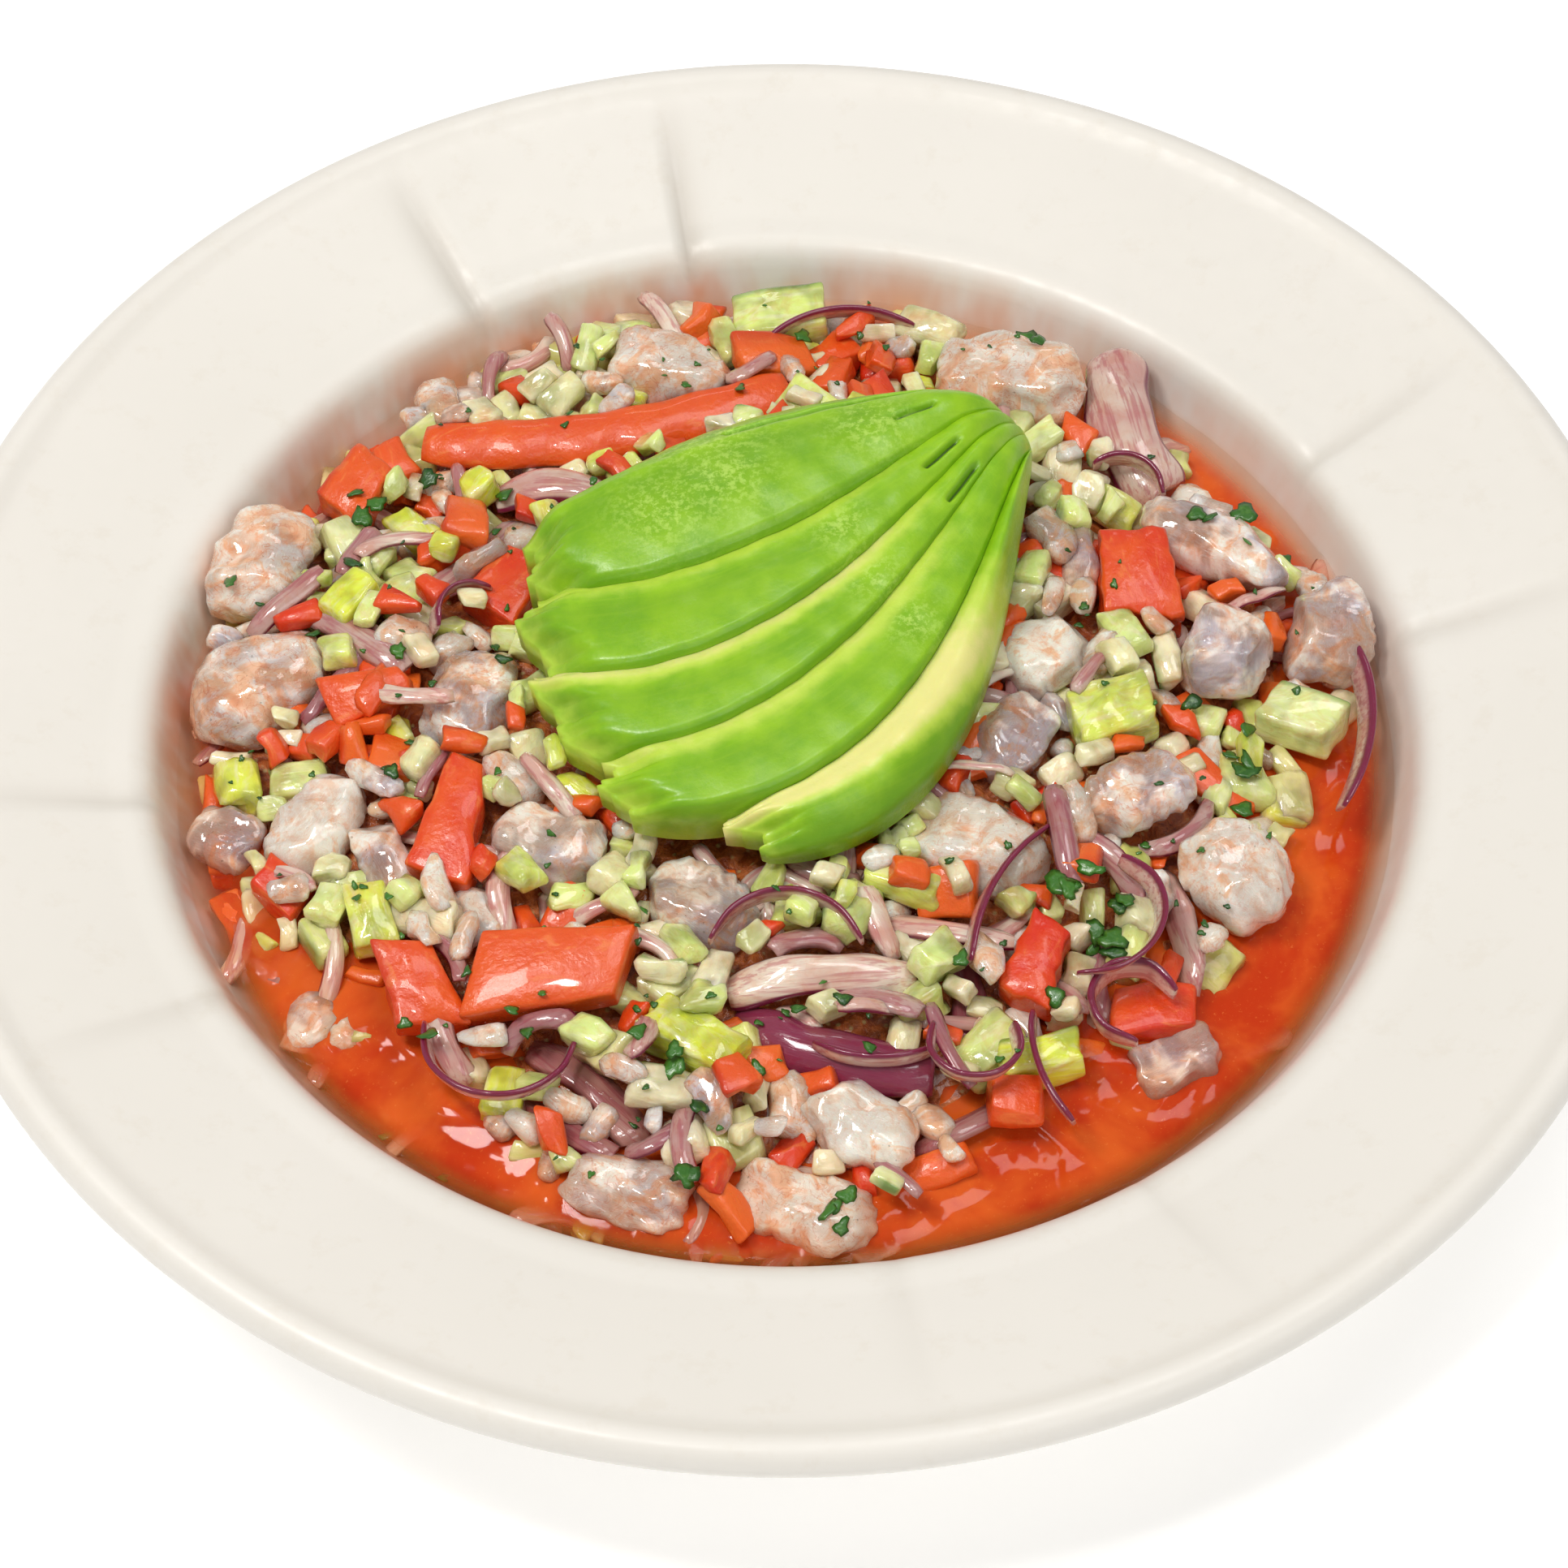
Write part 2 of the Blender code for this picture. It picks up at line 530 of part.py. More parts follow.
def petal_body(length, width, thick, bend, arch, curl, grow=0.0, stations=7, slack=0.0):
    """Curved leaf or strip: bends in plan, arches upwards and cups across its width."""
    across = (-1.0, 0.0, 1.0)
    pts, faces = [], []
    total, up = math.radians(bend), math.radians(arch)
    for i in range(stations):
        t = i / (stations - 1) - 0.5
        s = t * (length + 2 * grow)
        h = total * 2 * t
        x = s * (1.0 - (total * t) ** 2 * 0.6)
        y = -0.5 * length * total * (2 * t) ** 2 * 0.5
        z = -0.5 * length * up * (2 * t) ** 2 * 0.5
        w = 0.5 * width * (1.0 - 0.55 * abs(2 * t) ** 3) + grow + slack
        th = 0.5 * thick * (1.0 - 0.35 * abs(2 * t) ** 3) + grow + slack
        ring = []
        for side in (1.0, -1.0):
            for q in (across if side > 0 else across[::-1]):
                cup = -curl * 0.22 * width * q * q
                edge = 1.0 if q == 0 else 0.62
                up_or_down = side * th * edge
                ring.append((x + w * q * math.sin(h), y + w * q * math.cos(h), z + cup + up_or_down))
        pts += ring
    m = 6
    for i in range(stations - 1):
        for k in range(m):
            q = (k + 1) % m
            faces.append((i * m + k, i * m + q, (i + 1) * m + q, (i + 1) * m + k))
    faces.append((0, 5, 4, 1))
    faces.append((1, 4, 3, 2))
    last = (stations - 1) * m
    faces.append((last, last + 1, last + 4, last + 5))
    faces.append((last + 1, last + 2, last + 3, last + 4))
    return pts, faces


def signed_volume(pts, faces):
    p = np.array(pts)
    total = 0.0
    for f in faces:
        for k in range(1, len(f) - 1):
            total += float(np.dot(p[f[0]], np.cross(p[f[k]], p[f[k + 1]])))
    return total / 6.0


def pocket_body(kind, dims):
    """Plain body that holds a piece with clearance all round: the pocket the piece lies in."""
    if kind == "shrimp":
        length, width, height, bend, taper = dims
        return shrimp_body(length, width, height, bend, taper, GAP, 6,
                           ((0.02, 0.84), (0.30, 1.15), (0.70, 1.15), (0.98, 0.84)))
    if kind == "petal":
        return petal_body(*dims, grow=GAP, stations=5, slack=0.5)
    length, width, thick, taper, skew, crown = dims
    pts = []
    for z in (-0.5 * thick - GAP, 0.5 * thick + crown + GAP):
        for sx, sy in ((-1, -1), (1, -1), (1, 1), (-1, 1)):
            side = 1.0 - taper * (0.5 + 0.5 * sx)
            x = sx * (0.5 * length + GAP) + skew * 0.5 * width * sy
            pts.append((x, sy * (0.5 * width * side + GAP), z))
    return pts, [(3, 2, 1, 0), (4, 5, 6, 7), (0, 1, 5, 4), (1, 2, 6, 5), (2, 3, 7, 6), (3, 0, 4, 7)]


def build_pieces(mats):
    """Every larger piece as a node, and the plain bodies that cut the pockets they lie in."""
    cut_verts, cut_faces = [], []
    jobs = [(n, v, shrimp_body, "shrimp") for n, v in SHRIMP.items()]
    jobs += [(n, v, wedge_body, "wedge") for n, v in WEDGES.items()]
    jobs += [(n, v, petal_body, "petal") for n, v in PETALS.items()]
    for name, row, body, kind in jobs:
        place, dims = row[:6], row[6:]
        pts, faces = body(*dims)
        solid(name, placed(pts, *place), faces, mats[name.split("_")[0]])
        pts, faces = pocket_body(kind, dims)
        pts = placed(pts, *place)
        if signed_volume(pts, faces) < 0:
            faces = [tuple(reversed(f)) for f in faces]
        base = len(cut_verts)
        cut_verts += pts
        cut_faces += [tuple(i + base for i in f) for f in faces]
    return solid("pockets", cut_verts, cut_faces, mats["shrimp"])


def outwards(ob):
    """Turn the faces outwards if the signed volume is negative."""
    mesh = ob.data
    mesh.calc_loop_triangles()
    co = np.array([v.co[:] for v in mesh.vertices])
    tri = np.array([t.vertices[:] for t in mesh.loop_triangles])
    a, b, c = co[tri[:, 0]], co[tri[:, 1]], co[tri[:, 2]]
    if float(np.einsum("ij,ij->i", a, np.cross(b, c)).sum()) < 0:
        mesh.flip_normals()


def cut(ob, cutter):
    mod = ob.modifiers.new("pockets", "BOOLEAN")
    mod.operation = "DIFFERENCE"
    mod.solver = "EXACT"
    mod.use_self = True
    mod.object = cutter
    bpy.context.view_layer.update()
    graph = bpy.context.evaluated_depsgraph_get()
    mesh = bpy.data.meshes.new_from_object(ob.evaluated_get(graph))
    ob.modifiers.clear()
    ob.data = mesh


def main_body(ob):
    """Drop crumbs that the pockets cut loose and keep the one large body."""
    mesh = ob.data
    parent = list(range(len(mesh.vertices)))

    def root(i):
        while parent[i] != i:
            parent[i] = parent[parent[i]]
            i = parent[i]
        return i

    for e in mesh.edges:
        a, b = root(e.vertices[0]), root(e.vertices[1])
        if a != b:
            parent[a] = b
    groups = {}
    for i in range(len(parent)):
        groups.setdefault(root(i), []).append(i)
    largest = max(groups.values(), key=len)
    if len(groups) > 1:
        bm = bmesh.new()
        bm.from_mesh(mesh)
        bm.verts.ensure_lookup_table()
        keep = set(largest)
        bmesh.ops.delete(bm, geom=[v for v in bm.verts if v.index not in keep], context="VERTS")
        bm.to_mesh(mesh)
        bm.free()


def main():
    clear_scene()
    mats = {
        "china": material("white_china", (0.86, 0.82, 0.76), 0.18),
        "broth": material("tomato_broth", (0.58, 0.09, 0.02), 0.12),
        "heap": material("ceviche_mix", (0.72, 0.42, 0.26), 0.35),
        "avocado": material("avocado_flesh", (0.36, 0.60, 0.06), 0.38),
        "shrimp": material("lime_cured_shrimp", (0.62, 0.50, 0.46), 0.28),
        "tomato": material("tomato_flesh", (0.72, 0.10, 0.03), 0.25),
        "cucumber": material("cucumber_flesh", (0.62, 0.72, 0.28), 0.3),
        "onion": material("red_onion", (0.50, 0.24, 0.28), 0.3),
    }
    build_bowl(mats["china"])
    heap = build_heap(mats["heap"])
    broth = build_broth(mats["broth"])
    build_avocado(mats["avocado"])
    cutter = build_pieces(mats)
    for ob in list(bpy.data.objects):
        outwards(ob)
    cut(heap, cutter)
    cut(broth, cutter)
    main_body(heap)
    main_body(broth)
    bpy.data.objects.remove(cutter, do_unlink=True)


main()
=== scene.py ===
"""Looks of a shrimp ceviche in its wide-rimmed china bowl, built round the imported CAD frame.

Lengths are in millimetres until a mesh is made; +Z is up and the bowl's axis is the origin.
"""

import math

import bpy
import numpy as np
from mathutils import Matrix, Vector


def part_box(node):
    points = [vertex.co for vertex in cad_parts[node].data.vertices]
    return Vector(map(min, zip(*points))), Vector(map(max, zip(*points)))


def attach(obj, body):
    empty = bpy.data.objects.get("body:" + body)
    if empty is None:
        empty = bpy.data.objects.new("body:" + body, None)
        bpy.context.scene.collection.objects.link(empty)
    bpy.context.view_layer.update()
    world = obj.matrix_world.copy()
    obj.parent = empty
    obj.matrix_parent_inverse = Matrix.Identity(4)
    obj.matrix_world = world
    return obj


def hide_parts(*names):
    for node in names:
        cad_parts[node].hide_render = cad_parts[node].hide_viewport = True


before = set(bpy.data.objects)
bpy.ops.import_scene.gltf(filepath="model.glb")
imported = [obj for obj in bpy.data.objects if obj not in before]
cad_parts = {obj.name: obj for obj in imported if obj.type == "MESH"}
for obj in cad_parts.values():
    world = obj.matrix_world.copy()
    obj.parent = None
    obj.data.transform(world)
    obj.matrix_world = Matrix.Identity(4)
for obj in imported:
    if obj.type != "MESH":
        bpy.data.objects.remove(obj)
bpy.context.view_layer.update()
MM = 0.001
BROTH_Z = 29.5
WATERLINE_R = 102.6
FLOOR_Z, FLOOR_R = 8.0, 66.0            # inside floor of the well
WELL_RUN, WELL_RISE = 40.0, 35.0        # quarter-ellipse wall of the well
WALL = 5.0
RIM_IN, RIM_OUT = 104.0, 139.0          # the creases run between these radii
LIP_RING = 22                           # number of profile rings from the floor up to the lip
CAMERA_ELEVATION, CAMERA_DISTANCE, CAMERA_LENS = 53.55, 0.62, 87.8
CAMERA_TARGET = (-0.0003, -0.0247, 0.052)


# ---- nodes --------------------------------------------------------------------------------
class Tree:
    """A material under construction: thin wrappers that add one node each and return a socket."""

    def __init__(self, name):
        self.mat = bpy.data.materials.new(name)
        self.mat.use_nodes = True
        self.nodes, self.links = self.mat.node_tree.nodes, self.mat.node_tree.links
        self.shader = self.nodes["Principled BSDF"]

    def feed(self, socket, value):
        if isinstance(value, bpy.types.NodeSocket):
            self.links.new(value, socket)
        elif isinstance(value, tuple) and len(value) == 3 and len(socket.default_value) == 4:
            socket.default_value = (*value, 1.0)
        else:
            socket.default_value = value

    def node(self, kind, inputs, out=0, **props):
        n = self.nodes.new("ShaderNode" + kind)
        for key, value in props.items():
            setattr(n, key, value)
        for key, value in inputs.items():
            self.feed(n.inputs[key], value)
        return n.outputs[out]

    def mm(self):
        """Place in the object, in millimetres."""
        where = self.node("TexCoord", {}, "Object")
        return self.node("Mapping", {"Vector": where, "Scale": (1000.0, 1000.0, 1000.0)})

    def stretch(self, vector, scale):
        return self.node("Mapping", {"Vector": vector, "Scale": scale})

    def attr(self, name, out="Color"):
        return self.node("Attribute", {}, out, attribute_name=name)

    def parts(self, colour):
        n = self.nodes.new("ShaderNodeSeparateColor")
        self.links.new(colour, n.inputs[0])
        return n.outputs[0], n.outputs[1], n.outputs[2]

    def xyz(self, vector):
        n = self.nodes.new("ShaderNodeSeparateXYZ")
        self.links.new(vector, n.inputs[0])
        return n.outputs[0], n.outputs[1], n.outputs[2]

    def noise(self, vector, scale, detail=2.0, rough=0.5, twist=0.0):
        return self.node("TexNoise", {"Vector": vector, "Scale": scale, "Detail": detail,
                                      "Roughness": rough, "Distortion": twist})

    def cells(self, vector, scale):
        return self.node("TexVoronoi", {"Vector": vector, "Scale": scale})

    def math(self, op, a, b=0.0):
        return self.node("Math", {0: a, 1: b}, operation=op)

    def remap(self, value, lo, hi, to_lo=0.0, to_hi=1.0):
        return self.node("MapRange", {"Value": value, "From Min": lo, "From Max": hi,
                                      "To Min": to_lo, "To Max": to_hi}, interpolation_type="SMOOTHSTEP")

    def mix(self, fac, a, b, blend="MIX"):
        n = self.nodes.new("ShaderNodeMix")
        n.data_type, n.blend_type = "RGBA", blend
        for index, value in ((0, fac), (6, a), (7, b)):
            self.feed(n.inputs[index], value)
        return n.outputs[2]

    def bump(self, height, strength, distance_mm):
        return self.node("Bump", {"Height": height, "Strength": strength, "Distance": distance_mm * MM})

    def surface(self, **inputs):
        """Feeds the Principled shader: underscores stand for spaces."""
        for key, value in inputs.items():
            self.feed(self.shader.inputs[key.replace("_", " ")], value)
        return self.mat


def sauced(t, p, base, amount):
    """Thin red broth left on a piece: in patches, and more of it low in the heap."""
    _, _, z = t.xyz(p)
    patch = t.remap(t.noise(p, 0.21, 4.0, 0.7, 0.8), 0.44, 0.66, 0.0, amount)
    low = t.remap(z, 39.0, 29.5, 0.0, 0.70)
    broken = t.remap(t.noise(p, 0.12, 2.0), 0.3, 0.6, 0.5, 1.0)
    cover = t.math("MAXIMUM", patch, t.math("MULTIPLY", low, broken))
    return t.mix(cover, base, (0.86, 0.40, 0.16), "MULTIPLY")


def china_material():
    t = Tree("glazed_china")
    p = t.mm()
    x, y, z = t.xyz(p)
    r = t.math("SQRT", t.math("ADD", t.math("MULTIPLY", x, x), t.math("MULTIPLY", y, y)))
    base = t.mix(t.noise(p, 0.02, 3.0), (0.80, 0.765, 0.70), (0.86, 0.825, 0.765))
    base = t.mix(t.remap(t.noise(p, 0.16, 4.0, 0.7), 0.52, 0.72, 0.0, 0.16), base, (0.70, 0.62, 0.50))
    # broth left on the wall of the well by stirring: strongest at the back left
    groove_and_painted_shade, well, _ = t.parts(t.attr("tone"))
    back_left = t.math("SUBTRACT", t.math("MULTIPLY", y, 0.5), x)
    side = t.math("MULTIPLY", well, t.remap(back_left, -90.0, 90.0, 0.25, 1.0))
    wash = t.math("MULTIPLY", t.remap(z, 43.0, 30.5), t.remap(r, 110.5, 106.0))
    runs = t.noise(t.stretch(p, (1.0, 1.0, 0.35)), 0.07, 3.0, 0.6)
    wash = t.math("MULTIPLY", wash, t.remap(runs, 0.30, 0.66))
    base = t.mix(t.math("MULTIPLY", wash, side), base, (0.74, 0.36, 0.20))
    tide = t.math("MULTIPLY", t.remap(z, 31.6, 29.9), t.remap(r, 110.0, 104.0))
    tide = t.math("MULTIPLY", well, tide)
    base = t.mix(t.math("MULTIPLY", tide, 0.30), base, (0.80, 0.42, 0.22))
    # painted shade: the rim creases are darkened in the colour, standing in for the shade that falls in them
    base = t.mix(t.math("MULTIPLY", groove_and_painted_shade, 0.55), base, (0.42, 0.36, 0.29))
    bump = t.bump(t.noise(p, 0.11, 2.0), 0.16, 0.5)
    return t.surface(Base_Color=base, Roughness=t.remap(t.noise(p, 0.3, 3.0), 0.3, 0.7, 0.36, 0.50),
                     Coat_Weight=0.12, Coat_Roughness=0.25, Normal=bump)


def broth_material():
    t = Tree("tomato_lime_broth")
    p = t.mm()
    x, y, _ = t.xyz(p)
    r = t.math("SQRT", t.math("ADD", t.math("MULTIPLY", x, x), t.math("MULTIPLY", y, y)))
    cloud = t.noise(p, 0.055, 4.0, 0.6, 0.4)
    base = t.mix(t.remap(cloud, 0.35, 0.65), (0.62, 0.045, 0.005), (0.80, 0.13, 0.016))
    thin = t.remap(r, WATERLINE_R - 4.5, WATERLINE_R + 0.3)
    base = t.mix(thin, base, (0.88, 0.30, 0.07))
    fine = t.noise(p, 1.4, 3.0, 0.7)
    base = t.mix(t.remap(fine, 0.60, 0.74, 0.0, 0.45), base, (0.90, 0.28, 0.06))
    shallow = t.remap(t.math("SUBTRACT", t.math("MULTIPLY", y, 0.9), x), 25.0, 85.0, 1.0, 0.42)
    depth = t.math("MULTIPLY", shallow, t.remap(r, WATERLINE_R + 0.8, WATERLINE_R - 6.5, 0.05, 0.88))
    bump = t.bump(t.noise(p, 0.22, 2.0), 0.10, 0.6)
    return t.surface(Base_Color=base, Roughness=0.06, IOR=1.34, Alpha=depth, Normal=bump,
                     Subsurface_Weight=0.25, Subsurface_Radius=(1.0, 0.25, 0.08), Subsurface_Scale=0.003)


def core_material():
    t = Tree("ceviche_core_and_gap_shade")
    p = t.mm()
    grain = t.noise(p, 0.35, 5.0, 0.65, 0.5)
    # partly painted shade: the dark red-brown stands in for the shadowed depth between the pieces, over the
    # colour of broth-soaked pulp
    base = t.mix(t.remap(grain, 0.35, 0.68), (0.28, 0.048, 0.010), (0.66, 0.18, 0.04))
    base = t.mix(t.remap(t.cells(p, 0.5), 0.30, 0.05, 0.0, 0.7), base, (0.60, 0.50, 0.20))
    return t.surface(Base_Color=base, Roughness=0.24, Coat_Weight=0.4, Coat_Roughness=0.08,
                     Normal=t.bump(grain, 0.9, 1.2))


def avocado_material():
    t = Tree("avocado_flesh")
    p = t.mm()
    pale, deep, painted_sheen = t.parts(t.attr("tone"))
    cloud = t.noise(p, 0.11, 4.0, 0.6)
    base = t.mix(t.remap(cloud, 0.32, 0.68), (0.215, 0.47, 0.005), (0.33, 0.60, 0.010))
    streak = t.noise(t.stretch(t.attr("loc", "Vector"), (0.05, 0.8, 0.8)), 1.0, 4.0, 0.65)
    base = t.mix(t.remap(streak, 0.45, 0.75, 0.0, 0.35), base, (0.40, 0.64, 0.025))
    # deep: the darker green towards the skin side is the flesh's own colour; the dark line at each slice's
    # front edge, in the crease with the next slice, and the near-black in the splits are painted shade
    base = t.mix(t.math("MULTIPLY", deep, 0.9), base, (0.12, 0.32, 0.003))
    base = t.mix(t.remap(deep, 0.78, 1.0, 0.0, 0.9), base, (0.030, 0.075, 0.004))
    # painted highlight: in the sheen patches, lighter green speckles stand in for the gloss on the wet flesh
    speck = t.math("MULTIPLY", painted_sheen, t.remap(t.noise(p, 0.85, 3.0, 0.75), 0.44, 0.64))
    base = t.mix(t.math("MULTIPLY", speck, 0.62), base, (0.58, 0.80, 0.16))
    ragged = t.math("ADD", pale, t.remap(t.noise(p, 0.3, 3.0), 0.3, 0.7, -0.07, 0.07))
    base = t.mix(t.remap(ragged, 0.06, 0.60), base, (0.56, 0.74, 0.08))
    base = t.mix(t.remap(ragged, 0.50, 1.0), base, (0.84, 0.80, 0.28))
    pores = t.noise(p, 1.6, 3.0, 0.6)
    height = t.math("ADD", t.math("MULTIPLY", cloud, 1.0), t.math("MULTIPLY", pores, 0.28))
    return t.surface(Base_Color=base, Roughness=t.remap(pores, 0.3, 0.7, 0.30, 0.46),
                     Subsurface_Weight=0.35, Subsurface_Radius=(0.7, 1.0, 0.15), Subsurface_Scale=0.0022,
                     Coat_Weight=0.10, Coat_Roughness=0.16, Normal=t.bump(height, 0.30, 0.6))


def shrimp_material():
    t = Tree("lime_cured_shrimp")
    p, loc = t.mm(), t.attr("loc", "Vector")
    white, pink, _ = t.parts(t.attr("tone"))
    base = t.mix(t.remap(t.noise(p, 0.09, 2.0), 0.40, 0.60), (0.80, 0.57, 0.46), (0.69, 0.62, 0.71))
    base = t.mix(t.math("MULTIPLY", white, 0.85), base, (0.92, 0.84, 0.70))
    milk = t.noise(p, 0.11, 3.0, 0.55, 0.6)
    base = t.mix(t.remap(milk, 0.48, 0.66, 0.0, 0.9), base, (0.98, 0.92, 0.82))
    fibre = t.noise(t.stretch(loc, (0.09, 0.80, 0.80)), 1.0, 4.0, 0.65, 1.8)
    strand = t.remap(t.math("ABSOLUTE", t.math("SUBTRACT", fibre, 0.5)), 0.05, 0.0)
    base = t.mix(t.math("MULTIPLY", strand, t.remap(white, 0.0, 1.0, 0.45, 0.9)), base, (0.98, 0.92, 0.84))
    blush = t.math("ADD", t.noise(p, 0.14, 4.0, 0.7, 1.2), t.math("MULTIPLY", pink, 0.12))
    base = t.mix(t.remap(blush, 0.53, 0.69, 0.0, 0.8), base, (0.92, 0.50, 0.27))
    vein = t.remap(t.math("ABSOLUTE", t.math("SUBTRACT", t.noise(p, 0.19, 3.0, 0.6, 1.5), 0.5)), 0.018, 0.0)
    base = t.mix(t.math("MULTIPLY", vein, t.remap(pink, 0.0, 1.0, 0.15, 0.7)), base, (0.74, 0.30, 0.16))
    base = sauced(t, p, base, 0.45)
    speck = t.remap(t.noise(p, 1.1, 2.0, 0.5), 0.70, 0.76)
    base = t.mix(t.math("MULTIPLY", speck, 0.5), base, (0.16, 0.10, 0.05))
    height = t.math("ADD", t.math("MULTIPLY", strand, 0.35), milk)
    clear = t.math("MULTIPLY", t.remap(milk, 0.60, 0.40), t.remap(white, 0.0, 1.0, 0.55, 0.18))
    return t.surface(Base_Color=base, Roughness=t.remap(milk, 0.3, 0.7, 0.12, 0.26), IOR=1.37,
                     Transmission_Weight=clear,
                     Subsurface_Weight=0.6, Subsurface_Radius=(1.0, 0.70, 0.60), Subsurface_Scale=0.0040,
                     Coat_Weight=1.0, Coat_Roughness=0.03, Normal=t.bump(height, 0.38, 1.2))


def tomato_material():
    t = Tree("tomato_flesh")
    p, loc = t.mm(), t.attr("loc", "Vector")
    deep, _, skin = t.parts(t.attr("tone"))
    cloud = t.noise(p, 0.13, 3.0, 0.6)
    base = t.mix(deep, (0.84, 0.15, 0.014), (0.70, 0.026, 0.004))
    base = t.mix(t.remap(cloud, 0.35, 0.70, 0.0, 0.65), base, (0.84, 0.12, 0.010))
    vein = t.noise(t.stretch(loc, (0.10, 0.30, 0.30)), 1.0, 4.0, 0.6, 1.6)
    base = t.mix(t.remap(vein, 0.55, 0.70, 0.0, 0.45), base, (0.88, 0.26, 0.05))
    base = t.mix(t.math("MULTIPLY", skin, 0.7), base, (0.50, 0.012, 0.004))
    height = t.math("ADD", cloud, t.math("MULTIPLY", t.noise(p, 0.9, 3.0, 0.6), 0.35))
    return t.surface(Base_Color=base, Roughness=t.remap(vein, 0.3, 0.7, 0.26, 0.46),
                     Subsurface_Weight=0.20, Subsurface_Radius=(1.0, 0.20, 0.06), Subsurface_Scale=0.0025,
                     Coat_Weight=0.28, Coat_Roughness=0.05, Normal=t.bump(height, 0.55, 0.9))


def cucumber_material():
    t = Tree("cucumber_flesh")
    p, loc = t.mm(), t.attr("loc", "Vector")
    green, _, skin = t.parts(t.attr("tone"))
    base = t.mix(t.remap(green, 0.0, 0.5), (0.95, 0.84, 0.57), (0.76, 0.90, 0.30))
    base = t.mix(t.remap(green, 0.5, 1.0), base, (0.80, 0.90, 0.07))
    grain = t.noise(t.stretch(loc, (0.14, 0.45, 0.45)), 1.0, 4.0, 0.6, 0.8)
    base = t.mix(t.remap(grain, 0.42, 0.70, 0.0, 0.6), base, (0.92, 0.93, 0.60))
    wet = t.noise(p, 0.17, 2.0)
    base = t.mix(t.remap(wet, 0.52, 0.72, 0.0, 0.35), base, (0.60, 0.72, 0.16))
    base = t.mix(t.remap(t.noise(p, 0.12, 3.0), 0.60, 0.76, 0.0, 0.45), base, (0.74, 0.34, 0.12))
    base = t.mix(skin, base, (0.10, 0.25, 0.03))
    base = sauced(t, p, base, 0.30)
    height = t.math("ADD", grain, t.math("MULTIPLY", t.noise(p, 0.8, 2.0), 0.4))
    return t.surface(Base_Color=base, Roughness=t.remap(grain, 0.3, 0.7, 0.12, 0.26), IOR=1.35,
                     Transmission_Weight=t.remap(wet, 0.38, 0.70, 0.0, 0.40),
                     Subsurface_Weight=0.45, Subsurface_Radius=(0.8, 1.0, 0.35), Subsurface_Scale=0.0032,
                     Coat_Weight=0.9, Coat_Roughness=0.04, Normal=t.bump(height, 0.45, 0.7))


def onion_material():
    t = Tree("red_onion")
    p, loc = t.mm(), t.attr("loc", "Vector")
    purple, _, edge = t.parts(t.attr("tone"))
    line = t.noise(t.stretch(loc, (0.05, 1.1, 1.1)), 1.0, 3.0, 0.6)
    base = t.mix(t.remap(t.noise(p, 0.12, 2.0), 0.35, 0.65), (0.80, 0.50, 0.42), (0.94, 0.80, 0.66))
    base = t.mix(t.remap(line, 0.46, 0.62, 0.0, 0.60), base, (0.58, 0.17, 0.18))
    base = t.mix(purple, base, (0.25, 0.014, 0.070))
    base = t.mix(t.remap(edge, 0.30, 0.80), base, (0.22, 0.014, 0.060))
    base = sauced(t, p, base, 0.25)
    return t.surface(Base_Color=base, Roughness=t.remap(line, 0.3, 0.7, 0.12, 0.24), IOR=1.35,
                     Transmission_Weight=0.12,
                     Subsurface_Weight=0.35, Subsurface_Radius=(1.0, 0.5, 0.45), Subsurface_Scale=0.0022,
                     Coat_Weight=0.9, Coat_Roughness=0.04, Normal=t.bump(line, 0.4, 0.4))


def cilantro_material():
    t = Tree("cilantro_leaf")
    p = t.mm()
    own, _, _ = t.parts(t.attr("tone"))
    base = t.mix(own, (0.012, 0.065, 0.008), (0.050, 0.190, 0.018))
    base = t.mix(t.remap(t.noise(p, 0.9, 3.0), 0.5, 0.7, 0.0, 0.5), base, (0.10, 0.24, 0.03))
    return t.surface(Base_Color=base, Roughness=0.30, Coat_Weight=0.3, Coat_Roughness=0.1,
                     Normal=t.bump(t.noise(p, 1.2, 2.0), 0.6, 0.3))


def floor_material():
    t = Tree("pale_floor")
    base = t.mix(t.noise(t.mm(), 0.004, 2.0), (0.93, 0.93, 0.93), (0.96, 0.96, 0.96))
    return t.surface(Base_Color=base, Roughness=0.9, Emission_Color=(1.0, 1.0, 1.0), Emission_Strength=0.32)


